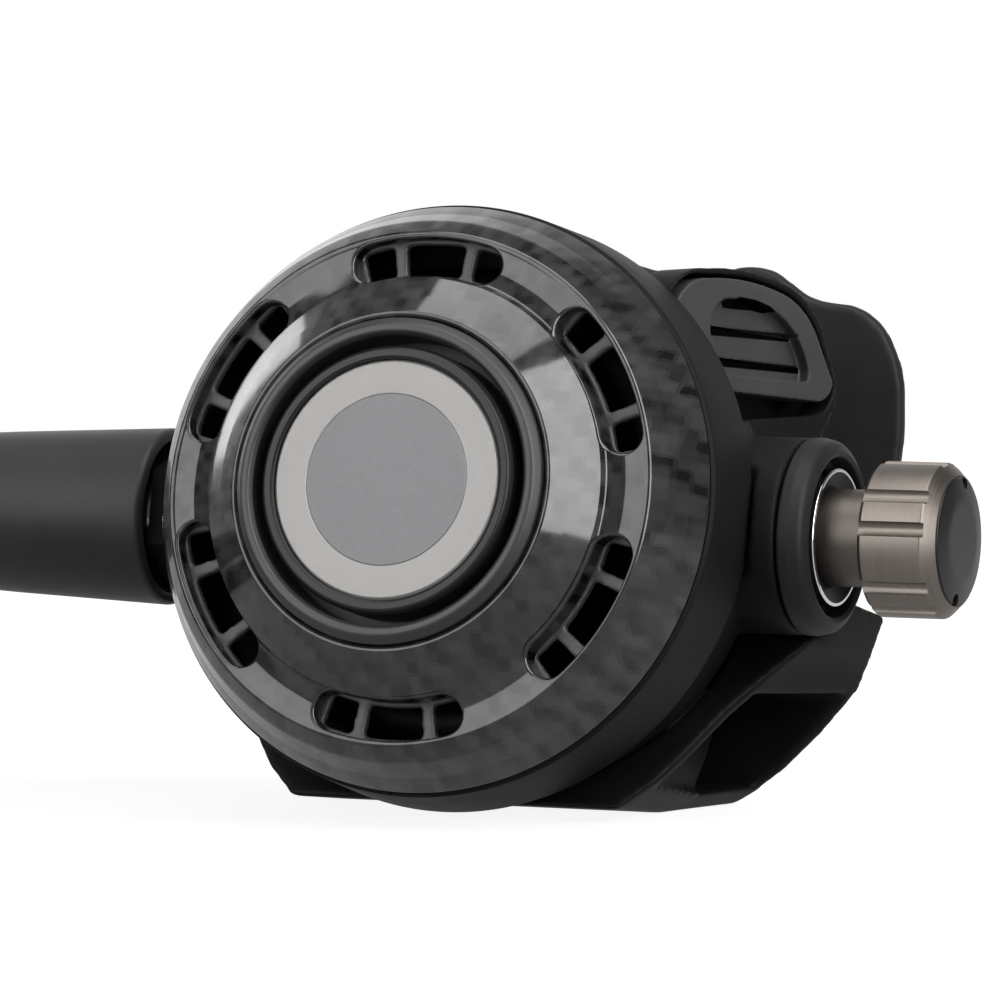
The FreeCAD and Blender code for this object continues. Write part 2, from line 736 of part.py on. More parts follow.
def make_case_body():
    d.add("case_front", -15.8, "face the diaphragm rests on")
    d.add("case_shoulder", -10.2, "back of the ring's seat")
    d.add("case_front_radius", 37.0, "outside of the case behind the ring")
    d.add("case_side_radius", 36.6, "outside where the back starts to round")
    d.add("case_side_back", -4.0, "station where it starts")
    d.add("case_hip_radius", 33.0, "first point of the rounded back")
    d.add("case_hip_back", 5.0, "its station")
    d.add("case_back_radius", 27.0, "second point of the rounded back")
    d.add("case_back_back", 10.5, "its station")
    d.add("case_heel_radius", 16.0, "third point of the rounded back")
    d.add("case_heel_back", 14.2, "its station")
    d.add("case_end", 15.2, "middle of the case's back")
    d.add("case_hip_round", 13.0, "rounding up to the first point")
    d.add("case_back_round", 20.0, "rounding up to the second point")
    d.add("case_heel_round", 50.0, "rounding up to the third point")
    d.add("case_end_round", 60.0, "rounding up to the flat middle")
    d.add("case_flat_radius", 6.0, "radius of the flat middle")
    d.add("case_wall", 2.2, "wall of the case")
    d.add("case_cavity_radius", 33.9, "inside of the case")
    d.add("ring_sweep_radius", 38.9, "room for the retaining ring")
    d.add("boss_radius", 12.6, "barrel bosses")
    d.add("boss_reach", 42.2, "end of the barrel bosses")
    d.add("barrel_bore", 7.65, "bore for the barrel")
    d.add("barrel_left_reach", 60.0, "start of the bore cut")
    d.add("spigot_half_width", 15.5, "mouth tube, half width")
    d.add("spigot_half_height", 11.0, "mouth tube, half height")
    d.add("spigot_wall", 1.6, "wall of the mouth tube")
    d.add("spigot_start", -14.0, "start of the mouth tube inside the case")
    d.add("spigot_length", 37.0, "length of the mouth tube from there")
    d.add("exhaust_z", -17.5, "height of the exhaust port")
    d.add("exhaust_boss_radius", 13.2, "exhaust port boss")
    d.add("exhaust_boss_end", 17.0, "end of that boss")
    d.add("exhaust_port_radius", 11.6, "edge of the exhaust port")
    d.add("exhaust_hub_radius", 3.2, "hub that holds the exhaust valve")
    d.add("exhaust_stem_bore", 1.3, "hole for the valve's stem")
    d.add("exhaust_spoke_angle", 38.0, "half angle of one opening, degrees")
    d.add("exhaust_spokes", 4, "spokes of the exhaust port")
    d.add("exhaust_cut_start", 2.0, "start of the exhaust cut")
    d.add("hump_depth", 7.4, "depth of the lever's housing")
    d.add("hump_rim", 1.3, "rim of the housing round the lever")
    d.add("hump_left", -6.2, "left side of the housing")
    d.add("hump_step", 0.3, "housing face behind the lever's face")
    d.add("hump_foot", 5.5, "foot of the housing under the lever's left end")
    d.add("hump_foot_right", 24.5, "right side of the housing's foot")
    d.add("hump_foot_height", 14.5, "height of the housing's right foot")
    d.add("lever_pocket_depth", 5.0, "depth of the pocket for the lever")
    d.add("lever_pocket_reach", 16.0, "how far the pocket is open outward")
    d.add("bridge_radius", 2.9, "boss round the lever's shaft")
    d.add("bridge_length", 30.5, "reach of that boss from the lever's plane")
    d.add("shaft_bore", 1.56, "bore for the lever's shaft")
    d.add("shaft_bore_length", 33.0, "length of that bore")
    d.add("seal_bore", 2.6, "wider bore for the shaft's seal")
    d.add("seal_bore_depth", 7.2, "end of that bore from the lever's plane")
    body = new_body("case_body")
    shell = new_sketch(body, "case_outline", "XY_Plane")
    outline(shell, [
        (0, d.case_front),
        (d.case_front_radius, d.case_front),
        (d.case_front_radius, d.case_shoulder),
        (d.case_side_radius, d.case_side_back),
        (d.case_hip_radius, d.case_hip_back, d.case_hip_round),
        (d.case_back_radius, d.case_back_back, d.case_back_round),
        (d.case_heel_radius, d.case_heel_back, d.case_heel_round),
        (d.case_flat_radius, d.case_end, d.case_end_round),
        (0, d.case_end),
    ])
    revolve(body, shell, AXIS_OF_COVER)
    boss = new_sketch(body, "boss_outline", "YZ_Plane")
    circle_in(boss, 0, 0, d.boss_radius)
    pad(body, boss, 2 * d.boss_reach, both=True)
    port = new_sketch(body, "exhaust_boss_outline", "XZ_Plane", -d.exhaust_boss_end)
    circle_in(port, 0, d.exhaust_z, d.exhaust_boss_radius)
    pad(body, port, d.exhaust_boss_end)
    tube = mouth_sketch(body, "mouth_tube_outline", d.spigot_start)
    stadium(tube, d.spigot_half_width, d.spigot_half_height)
    pad(body, tube, d.spigot_length, reverse=True)
    seat = new_sketch(body, "ring_seat_outline", "XY_Plane")
    outline(seat, [
        (d.skirt_radius, d.case_front - d.edge_break),
        (d.ring_sweep_radius, d.case_front - d.edge_break),
        (d.ring_sweep_radius, d.case_shoulder),
        (d.skirt_radius, d.case_shoulder),
        (d.skirt_radius, d.case_bead_back),
        (d.bead_radius, d.case_bead_back - d.edge_break),
        (d.bead_radius, d.case_bead_front + d.edge_break),
        (d.skirt_radius, d.case_bead_front),
    ])
    groove(body, seat, AXIS_OF_COVER)
    cavity = new_sketch(body, "cavity_outline", "XY_Plane")
    outline(cavity, [
        (0, d.case_front - d.edge_break),
        (d.case_cavity_radius, d.case_front - d.edge_break),
        (d.case_cavity_radius, d.case_side_back),
        (d.case_hip_radius - d.case_wall, d.case_hip_back - d.case_wall,
         d.case_hip_round),
        (d.case_back_radius - d.case_wall, d.case_back_back - d.case_wall,
         d.case_back_round),
        (d.case_heel_radius, d.case_heel_back - d.case_wall, d.case_heel_round),
        (d.case_flat_radius, d.case_end - d.case_wall, d.case_end_round),
        (0, d.case_end - d.case_wall),
    ])
    groove(body, cavity, AXIS_OF_COVER)
    hump = flow_plane_sketch(body, "housing_outline", -d.hump_step)
    outline(hump, [
        (d.hump_left, d.hump_foot),
        (d.hump_foot_right, d.hump_foot_height),
        (d.flow_tip + d.hump_rim, d.flow_foot_end_height),
        (d.flow_tip + d.hump_rim, d.flow_tip_height),
        (d.flow_shoulder + d.hump_rim, d.flow_shoulder_height + d.hump_rim),
        (d.flow_top_end + d.hump_rim, d.flow_top_end_height + d.hump_rim,
         d.flow_shoulder_round),
        (d.flow_top_start, d.flow_top_start_height + d.hump_rim, d.flow_crown),
        (d.hump_left, d.flow_left_high + d.hump_rim, d.flow_corner + d.hump_rim),
    ])
    pad(body, hump, d.hump_depth, reverse=True)
    bridge = flow_plane_sketch(body, "bridge_outline", -d.hump_depth)
    circle_in(bridge, d.flow_pivot, d.flow_pivot_height, d.bridge_radius)
    pad(body, bridge, d.bridge_length - d.hump_depth, reverse=True)
    recess = flow_plane_sketch(body, "lever_pocket_outline", -d.lever_pocket_depth)
    outline(recess, [
        (d.shelf_left, d.shelf_left_height),
        (d.shelf_right, d.shelf_right_height),
        (d.flow_tip + d.flow_gap, d.flow_tip_height, d.flow_tip_round + 2 * d.flow_gap),
        (d.flow_shoulder + d.flow_gap, d.flow_shoulder_height + d.flow_gap),
        (d.flow_top_end + d.flow_gap, d.flow_top_end_height + d.flow_gap,
         d.flow_shoulder_round),
        (d.flow_top_start, d.flow_top_start_height + d.flow_gap, d.flow_crown),
        (d.shelf_left, d.flow_left_high + d.flow_gap, d.flow_corner),
    ])
    pocket(body, recess, d.lever_pocket_reach, reverse=True)
    bore = new_sketch(body, "barrel_bore_outline", "YZ_Plane", -d.barrel_left_reach)
    circle_in(bore, 0, 0, d.barrel_bore)
    pocket(body, bore, 2 * d.barrel_left_reach, reverse=True)
    inside = mouth_sketch(body, "mouth_bore_outline", d.spigot_start)
    stadium(inside, d.spigot_half_width - d.spigot_wall, d.spigot_half_height - d.spigot_wall)
    pocket(body, inside, d.spigot_length)
    openings = new_sketch(body, "exhaust_opening_outline", "XZ_Plane", -d.exhaust_cut_start)
    bind(openings, "AttachmentOffset.Base.y", d.exhaust_z)
    sector(openings, d.exhaust_hub_radius, d.exhaust_port_radius,
           as_size(QUARTER_TURN) - d.exhaust_spoke_angle,
           as_size(QUARTER_TURN) + d.exhaust_spoke_angle)
    made = pocket(body, openings, d.exhaust_boss_end)
    repeat(body, made, openings, "N_Axis", int(d.exhaust_spokes.value))
    stem = new_sketch(body, "valve_stem_outline", "XZ_Plane", -d.exhaust_cut_start)
    circle_in(stem, 0, d.exhaust_z, d.exhaust_stem_bore)
    pocket(body, stem, d.exhaust_boss_end)
    shaft = flow_plane_sketch(body, "shaft_bore_outline", 0)
    circle_in(shaft, d.flow_pivot, d.flow_pivot_height, d.shaft_bore)
    pocket(body, shaft, d.shaft_bore_length)
    wide = flow_plane_sketch(body, "seal_bore_outline", 0)
    circle_in(wide, d.flow_pivot, d.flow_pivot_height, d.seal_bore)
    pocket(body, wide, d.seal_bore_depth)
    keep(body, "case_body")


def make_valve_barrel():
    d.add("barrel_radius", 7.6, "outside of the barrel")
    d.add("barrel_left", -53.5, "hose end of the barrel")
    d.add("barrel_thread_radius", 7.0, "threaded hose end")
    d.add("barrel_thread_end", -46.4, "end of the thread")
    d.add("barrel_right", 46.2, "knob end of the barrel")
    d.add("barrel_flange_radius", 8.8, "bright flange at the knob end")
    d.add("barrel_flange_left", 44.0, "start of the flange")
    d.add("barrel_mouth_radius", 8.0, "mouth of the flange")
    d.add("barrel_mouth_depth", 0.8, "depth of the mouth's cone")
    d.add("inlet_bore", 4.6, "bore for the inlet")
    d.add("inlet_bore_end", -18.0, "end of the inlet bore")
    d.add("main_bore", 5.9, "bore for the poppet and the piston")
    d.add("main_bore_end", 31.0, "end of that bore")
    d.add("adjuster_bore", 6.3, "bore for the adjuster")
    d.add("window_left", 9.0, "lever window, end nearer the hose")
    d.add("window_right", 18.0, "lever window, end nearer the knob")
    d.add("window_half_height", 4.0, "half height of the lever window")
    d.add("outlet_radius", 3.6, "air outlet toward the mouth")
    d.add("outlet_x", 0.0, "station of the outlet")
    d.add("cut_reach", 12.0, "reach of the window and outlet cuts")
    d.add("stop_pin_x", 37.0, "station of the stop pin")
    d.add("stop_pin_radius", 0.8, "stop pin")
    body = new_body("valve_barrel")
    sketch = new_sketch(body, "barrel_outline", "XY_Plane")
    outline(sketch, [
        (d.barrel_left, d.inlet_bore),
        (d.inlet_bore_end, d.inlet_bore),
        (d.inlet_bore_end, d.main_bore),
        (d.main_bore_end, d.main_bore),
        (d.main_bore_end, d.adjuster_bore),
        (d.barrel_right - d.barrel_mouth_depth, d.adjuster_bore),
        (d.barrel_right, d.barrel_mouth_radius),
        (d.barrel_right, d.barrel_flange_radius),
        (d.barrel_flange_left, d.barrel_flange_radius),
        (d.barrel_flange_left, d.barrel_radius),
        (d.barrel_thread_end, d.barrel_radius),
        (d.barrel_thread_end, d.barrel_thread_radius),
        (d.barrel_left, d.barrel_thread_radius),
    ])
    revolve(body, sketch, AXIS_OF_BARREL)
    window = new_sketch(body, "lever_window_outline", "XZ_Plane")
    outline(window, [
        (d.window_left, -d.window_half_height),
        (d.window_right, -d.window_half_height),
        (d.window_right, d.window_half_height),
        (d.window_left, d.window_half_height),
    ])
    pocket(body, window, d.cut_reach, reverse=True)
    outlet = new_sketch(body, "outlet_outline", "XZ_Plane")
    circle_in(outlet, d.outlet_x, 0, d.outlet_radius)
    pocket(body, outlet, d.cut_reach)
    pin = new_sketch(body, "pin_bore_outline", "XZ_Plane")
    circle_in(pin, d.stop_pin_x, 0, d.stop_pin_radius + d.running_fit)
    pocket(body, pin, d.cut_reach, reverse=True)
    keep(body, "valve_barrel")


def make_end_collar():
    d.add("end_collar_left", 42.5, "inner face of the end collar")
    d.add("end_collar_right", 46.4, "outer face of the end collar")
    d.add("end_collar_radius", 12.6, "outside of the end collar")
    d.add("end_collar_round", 2.2, "rounding of its outer edge")
    d.add("end_collar_bore", 7.75, "bore over the barrel")
    d.add("end_collar_pocket", 10.2, "pocket round the barrel's flange")
    d.add("end_collar_floor", 43.7, "floor of that pocket")
    turned("end_collar", AXIS_OF_BARREL, [
        (d.end_collar_left, d.end_collar_bore),
        (d.end_collar_floor, d.end_collar_bore),
        (d.end_collar_floor, d.end_collar_pocket),
        (d.end_collar_right, d.end_collar_pocket),
        (d.end_collar_right, d.end_collar_radius - d.end_collar_round),
        (d.end_collar_right - d.end_collar_round, d.end_collar_radius, d.end_collar_round),
        (d.end_collar_left, d.end_collar_radius),
    ])


def make_barrel_nut():
    d.add("barrel_nut_left", -46.3, "outer face of the barrel nut")
    d.add("barrel_nut_right", -42.5, "inner face of the barrel nut")
    d.add("barrel_nut_corner", 9.8, "corners of the barrel nut")
    d.add("barrel_nut_bore", 7.65, "bore of the barrel nut")
    d.add("washer_face_radius", 10.6, "round face of the barrel nut")
    d.add("washer_face_width", 0.9, "width of that face")
    body = new_body("barrel_nut")
    face = new_sketch(body, "nut_face_outline", "YZ_Plane", d.barrel_nut_right - d.washer_face_width)
    circle_in(face, 0, 0, d.washer_face_radius)
    circle_in(face, 0, 0, d.barrel_nut_bore)
    pad(body, face, d.washer_face_width)
    sketch = new_sketch(body, "nut_outline", "YZ_Plane", d.barrel_nut_left)
    hexagon(sketch, d.barrel_nut_corner)
    circle_in(sketch, 0, 0, d.barrel_nut_bore)
    pad(body, sketch, d.barrel_nut_right - d.barrel_nut_left - d.washer_face_width)
    keep(body, "barrel_nut")


def make_inlet():
    d.add("orifice_left", -50.3, "hose end of the inlet orifice")
    d.add("orifice_crown", -16.2, "crown the seat closes on")
    d.add("orifice_radius", 4.55, "outside of the inlet orifice")
    d.add("orifice_bore", 2.2, "bore of the inlet orifice")
    d.add("crown_radius", 3.0, "outside of the crown")
    d.add("crown_length", 1.6, "length of the crown")
    d.add("orifice_groove_x", -30.0, "station of the orifice's seal")
    d.add("orifice_groove_half", 0.9, "half width of the seal's groove")
    d.add("orifice_groove_radius", 3.2, "floor of the seal's groove")
    d.add("orifice_seal_cord", 0.62, "cord radius of the orifice's seal")
    turned("inlet_orifice", AXIS_OF_BARREL, [
        (d.orifice_left, d.orifice_bore),
        (d.orifice_crown, d.orifice_bore),
        (d.orifice_crown, d.crown_radius - d.edge_break),
        (d.orifice_crown - d.crown_length, d.crown_radius),
        (d.inlet_bore_end - d.crown_length, d.orifice_radius),
        (d.orifice_groove_x + d.orifice_groove_half, d.orifice_radius),
        (d.orifice_groove_x + d.orifice_groove_half, d.orifice_groove_radius),
        (d.orifice_groove_x - d.orifice_groove_half, d.orifice_groove_radius),
        (d.orifice_groove_x - d.orifice_groove_half, d.orifice_radius),
        (d.orifice_left, d.orifice_radius),
    ])
    sealing_ring("orifice_seal", AXIS_OF_BARREL, d.orifice_groove_x,
                 d.orifice_groove_radius + d.orifice_seal_cord + d.running_fit,
                 d.orifice_seal_cord)


def make_poppet():
    d.add("seat_left", -16.0, "face of the soft seat")
    d.add("seat_right", -14.0, "back of the soft seat")
    d.add("seat_radius", 3.6, "soft seat")
    d.add("head_left", -15.4, "front of the poppet's head")
    d.add("head_right", -8.0, "back of the poppet's head")
    d.add("head_radius", 5.3, "poppet's head")
    d.add("head_flat", 4.4, "vanes of the head, half across the flats")
    d.add("poppet_stem_radius", 1.9, "poppet's stem")
    d.add("poppet_stem_end", 14.8, "shoulder where the stem gets thinner")
    d.add("poppet_tip_radius", 1.4, "thin end of the stem")
    d.add("poppet_tip_end", 29.0, "end of the poppet")
    turned("seat_disc", AXIS_OF_BARREL, [
        (d.seat_left, 0),
        (d.seat_right, 0),
        (d.seat_right, d.seat_radius),
        (d.seat_left, d.seat_radius),
    ])
    body = new_body("poppet")
    sketch = new_sketch(body, "poppet_outline", "XY_Plane")
    outline(sketch, [
        (d.seat_right, 0),
        (d.poppet_tip_end, 0),
        (d.poppet_tip_end, d.poppet_tip_radius),
        (d.poppet_stem_end, d.poppet_tip_radius),
        (d.poppet_stem_end, d.poppet_stem_radius),
        (d.head_right, d.poppet_stem_radius),
        (d.head_right, d.head_radius),
        (d.head_left, d.head_radius),
        (d.head_left, d.seat_radius),
        (d.seat_right, d.seat_radius),
    ])
    revolve(body, sketch, AXIS_OF_BARREL)
    flats = new_sketch(body, "head_flat_outline", "YZ_Plane", d.head_left)
    outline(flats, [
        (-d.head_radius, d.head_flat),
        (d.head_radius, d.head_flat),
        (d.head_radius, d.head_radius + d.edge_break),
        (-d.head_radius, d.head_radius + d.edge_break),
    ])
    made = pocket(body, flats, d.head_right - d.head_left, reverse=True)
    repeat(body, made, sketch, "H_Axis", 4)
    keep(body, "poppet")


def make_demand_lever():
    d.add("fork_left", 12.0, "hose side of the lever's fork")
    d.add("fork_thickness", 1.0, "sheet of the demand lever")
    d.add("fork_gap", 2.15, "half gap of the fork over the stem")
    d.add("fork_floor", 1.0, "start of the round floor of the fork's slot")
    d.add("fork_round", 2.4, "rounding of the fork's slot")
    d.add("fork_half_height", 3.7, "half height of the fork")
    d.add("fork_deep", 0.6, "how far the fork's legs reach past the axis")
    d.add("fork_bend", -8.6, "where the fork turns into the arm")
    d.add("lever_tip_x", -6.0, "tip of the arm along the barrel")
    d.add("lever_tip_y", -14.9, "tip of the arm toward the diaphragm")
    d.add("arm_half_height", 2.0, "half height of the arm")
    d.add("lever_pad_radius", 1.1, "rolled end of the arm")
    d.add("heel_y", -4.2, "heel the lever swings about")
    d.add("heel_radius", 0.7, "rolled heel")
    body = new_body("demand_lever")
    fork = new_sketch(body, "fork_outline", "YZ_Plane", d.fork_left)
    outline(fork, [
        (d.fork_deep, -d.fork_half_height),
        (d.fork_deep, -d.fork_gap),
        (-d.fork_floor, -d.fork_gap),
        (-d.fork_floor, d.fork_gap, -d.fork_round),
        (d.fork_deep, d.fork_gap),
        (d.fork_deep, d.fork_half_height),
        (d.fork_bend, d.fork_half_height),
        (d.fork_bend, -d.fork_half_height),
    ])
    pad(body, fork, d.fork_thickness)
    arm = new_sketch(body, "arm_outline", "XY_Plane")
    right = d.fork_left + d.fork_thickness
    outline(arm, [
        (right, d.fork_bend),
        (d.fork_left, d.fork_bend + d.fork_thickness),
        (d.lever_tip_x, d.lever_tip_y + d.fork_thickness),
        (d.lever_tip_x, d.lever_tip_y - d.fork_thickness, d.lever_pad_radius),
        (right, d.fork_bend - d.fork_thickness),
    ])
    pad(body, arm, 2 * d.arm_half_height, both=True)
    heel = new_sketch(body, "heel_outline", "XY_Plane")
    circle_in(heel, d.fork_left, d.heel_y, d.heel_radius)
    pad(body, heel, 2 * d.fork_half_height, both=True)
    keep(body, "demand_lever")


def make_lever_nut():
    d.add("washer_left", 13.05, "hose side of the lever washer")
    d.add("washer_thickness", 0.6, "lever washer")
    d.add("washer_radius", 3.6, "outside of the lever washer")
    d.add("nut_left", 13.7, "hose side of the lever nut")
    d.add("nut_right", 16.4, "knob side of the lever nut")
    d.add("nut_radius", 3.2, "body of the lever nut")
    d.add("nut_flange_radius", 4.6, "flange the spring pushes on")
    d.add("nut_flange_left", 15.6, "start of that flange")
    turned("lever_washer", AXIS_OF_BARREL, [
        (d.washer_left, d.poppet_stem_radius + d.running_fit),
        (d.washer_left + d.washer_thickness, d.poppet_stem_radius + d.running_fit),
        (d.washer_left + d.washer_thickness, d.washer_radius),
        (d.washer_left, d.washer_radius),
    ])
    turned("lever_nut", AXIS_OF_BARREL, [
        (d.nut_left, d.poppet_stem_radius + d.running_fit),
        (d.poppet_stem_end + d.running_fit, d.poppet_stem_radius + d.running_fit),
        (d.poppet_stem_end + d.running_fit, d.poppet_tip_radius + d.running_fit),
        (d.nut_right, d.poppet_tip_radius + d.running_fit),
        (d.nut_right, d.nut_flange_radius),
        (d.nut_flange_left, d.nut_flange_radius),
        (d.nut_flange_left, d.nut_radius),
        (d.nut_left, d.nut_radius),
    ])


def make_balance_piston():
    d.add("poppet_spring_radius", 3.6, "mean radius of the poppet's spring")
    d.add("poppet_spring_wire", 0.4, "radius of its wire")
    d.add("poppet_spring_turns", 4, "turns of the spring")
    d.add("piston_left", 27.0, "spring face of the balance piston")
    d.add("piston_flange_right", 28.4, "end of its flange")
    d.add("piston_flange_radius", 5.75, "flange of the balance piston")
    d.add("piston_radius", 4.4, "shank of the balance piston")
    d.add("piston_right", 33.9, "knob end of the balance piston")
    d.add("piston_bore", 1.5, "bore for the poppet's thin end")
    d.add("piston_bore_end", 32.4, "end of that bore")
    d.add("balance_groove_x", 29.9, "station of the piston's seal")
    d.add("balance_groove_half", 0.85, "half width of its groove")
    d.add("balance_groove_radius", 4.35, "floor of its groove")
    d.add("balance_cord", 0.7, "cord radius of the piston's seal")
    spring("poppet_spring", AXIS_OF_BARREL, d.nut_right, d.piston_left,
           d.poppet_spring_radius, d.poppet_spring_wire, d.poppet_spring_turns)
    turned("balance_piston", AXIS_OF_BARREL, [
        (d.piston_left, d.piston_bore),
        (d.piston_bore_end, d.piston_bore),
        (d.piston_bore_end, 0),
        (d.piston_right, 0),
        (d.piston_right, d.piston_radius),
        (d.piston_flange_right, d.piston_radius),
        (d.piston_flange_right, d.piston_flange_radius),
        (d.piston_left, d.piston_flange_radius),
    ])
    sealing_ring("balance_seal", AXIS_OF_BARREL, d.balance_groove_x,
                 d.piston_radius + d.balance_cord + d.running_fit, d.balance_cord)


def make_adjuster():
    d.add("screw_left", 34.0, "inner end of the adjuster screw")
    d.add("screw_radius", 6.2, "adjuster screw")
    d.add("screw_shoulder", 52.2, "end of the visible neck")
    d.add("screw_right", 59.5, "end of the knob's spigot")
    d.add("knob_spigot_radius", 4.0, "spigot the knob sits on")
    d.add("stop_groove_left", 34.9, "start of the stop pin's groove")
    d.add("stop_groove_right", 40.1, "end of the stop pin's groove")
    d.add("stop_groove_radius", 5.1, "floor of that groove")
    d.add("adjuster_seal_x", 41.9, "station of the adjuster's seal")
    d.add("adjuster_seal_half", 0.75, "half width of the seal's groove")
    d.add("adjuster_seal_floor", 5.1, "floor of the seal's groove")
    d.add("adjuster_cord", 0.54, "cord radius of the adjuster's seal")
    d.add("pin_inner", 5.35, "inner end of the stop pin")
    d.add("pin_outer", 7.45, "outer end of the stop pin")
    turned("adjuster_screw", AXIS_OF_BARREL, [
        (d.screw_left, 0),
        (d.screw_right, 0),
        (d.screw_right, d.knob_spigot_radius),
        (d.screw_shoulder, d.knob_spigot_radius),
        (d.screw_shoulder, d.screw_radius),
        (d.adjuster_seal_x + d.adjuster_seal_half, d.screw_radius),
        (d.adjuster_seal_x + d.adjuster_seal_half, d.adjuster_seal_floor),
        (d.adjuster_seal_x - d.adjuster_seal_half, d.adjuster_seal_floor),
        (d.adjuster_seal_x - d.adjuster_seal_half, d.screw_radius),
        (d.stop_groove_right, d.screw_radius),
        (d.stop_groove_right, d.stop_groove_radius),
        (d.stop_groove_left, d.stop_groove_radius),
        (d.stop_groove_left, d.screw_radius),
        (d.screw_left, d.screw_radius),
    ])
    sealing_ring("adjuster_seal", AXIS_OF_BARREL, d.adjuster_seal_x,
                 d.adjuster_seal_floor + d.adjuster_cord + d.running_fit, d.adjuster_cord)
    body = new_body("stop_pin")
    pin = new_sketch(body, "stop_pin_outline", "XZ_Plane", d.pin_inner)
    circle_in(pin, d.stop_pin_x, 0, d.stop_pin_radius)
    pad(body, pin, d.pin_outer - d.pin_inner)
    keep(body, "stop_pin")


def make_adjuster_knob():
    d.add("knob_left", 52.3, "inner face of the knob")
    d.add("knob_right", 62.4, "outer face of the knob")
    d.add("knob_radius", 9.9, "outside of the knob")
    d.add("knob_edge", 0.5, "broken inner edge of the knob")
    d.add("knob_slope_left", 60.8, "start of the sloped edge")
    d.add("knob_end_radius", 8.35, "outer face of the knob")
    d.add("cap_pocket_radius", 8.2, "pocket for the knob's cap")
    d.add("cap_pocket_floor", 61.1, "floor of that pocket")
    d.add("flute_radius", 1.1, "flutes of the knob")
    d.add("flute_ring_radius", 10.3, "ring the flutes' middles lie on")
    d.add("flute_right", 60.0, "end of the flutes")
    d.add("flute_left", 53.2, "start of the flutes")
    d.add("flute_first_angle", 172.0, "first flute, degrees")
    d.add("flute_pair_angle", 27.0, "angle between the two flutes of a pair, degrees")
    d.add("flute_pairs", 5, "pairs of flutes")
    d.add("cap_left", 61.2, "inner face of the cap")
    d.add("cap_edge_right", 62.6, "edge of the cap's dome")
    d.add("cap_right", 63.1, "crown of the cap's dome")
    d.add("cap_radius", 8.14, "cap of the knob")
    d.add("cap_flat_radius", 5.2, "flat middle of the cap")
    d.add("cap_dome", 9.0, "rounding of the cap's edge")
    d.add("cap_notch_radius", 0.9, "marks in the cap's rim")
    d.add("cap_notch_ring", 7.6, "ring the marks lie on")
    d.add("cap_notch_depth", 1.0, "depth of the marks")
    body = new_body("adjuster_knob")
    sketch = new_sketch(body, "knob_outline", "XY_Plane")
    bore = d.knob_spigot_radius + d.running_fit
    outline(sketch, [
        (d.knob_left, bore),
        (d.cap_pocket_floor, bore),
        (d.cap_pocket_floor, d.cap_pocket_radius),
        (d.knob_right, d.cap_pocket_radius),
        (d.knob_right, d.knob_end_radius),
        (d.knob_slope_left, d.knob_radius),
        (d.knob_left + d.knob_edge, d.knob_radius),
        (d.knob_left, d.knob_radius - d.knob_edge),
    ])
    revolve(body, sketch, AXIS_OF_BARREL)
    flutes = new_sketch(body, "flute_outline", "YZ_Plane", d.flute_left)
    for angle in (d.flute_first_angle, d.flute_first_angle + d.flute_pair_angle):
        middle = polar(d.flute_ring_radius, angle)
        circle_in(flutes, middle[0], middle[1], d.flute_radius)
    made = pocket(body, flutes, d.knob_right - d.flute_left, reverse=True)
    repeat(body, made, sketch, "H_Axis", int(d.flute_pairs.value))
    keep(body, "adjuster_knob")
    cap = new_body("knob_cap")
    shape = new_sketch(cap, "cap_outline", "XY_Plane")
    outline(shape, [
        (d.cap_left, 0),
        (d.cap_right, 0),
        (d.cap_right, d.cap_flat_radius),
        (d.cap_edge_right, d.cap_radius, d.cap_dome),
        (d.cap_left, d.cap_radius),
    ])
    revolve(cap, shape, AXIS_OF_BARREL)
    marks = new_sketch(cap, "cap_mark_outline", "YZ_Plane", d.cap_right)
    circle_in(marks, 0, d.cap_notch_ring, d.cap_notch_radius)
    circle_in(marks, 0, -d.cap_notch_ring, d.cap_notch_radius)
    pocket(cap, marks, d.cap_notch_depth)
    keep(cap, "knob_cap")


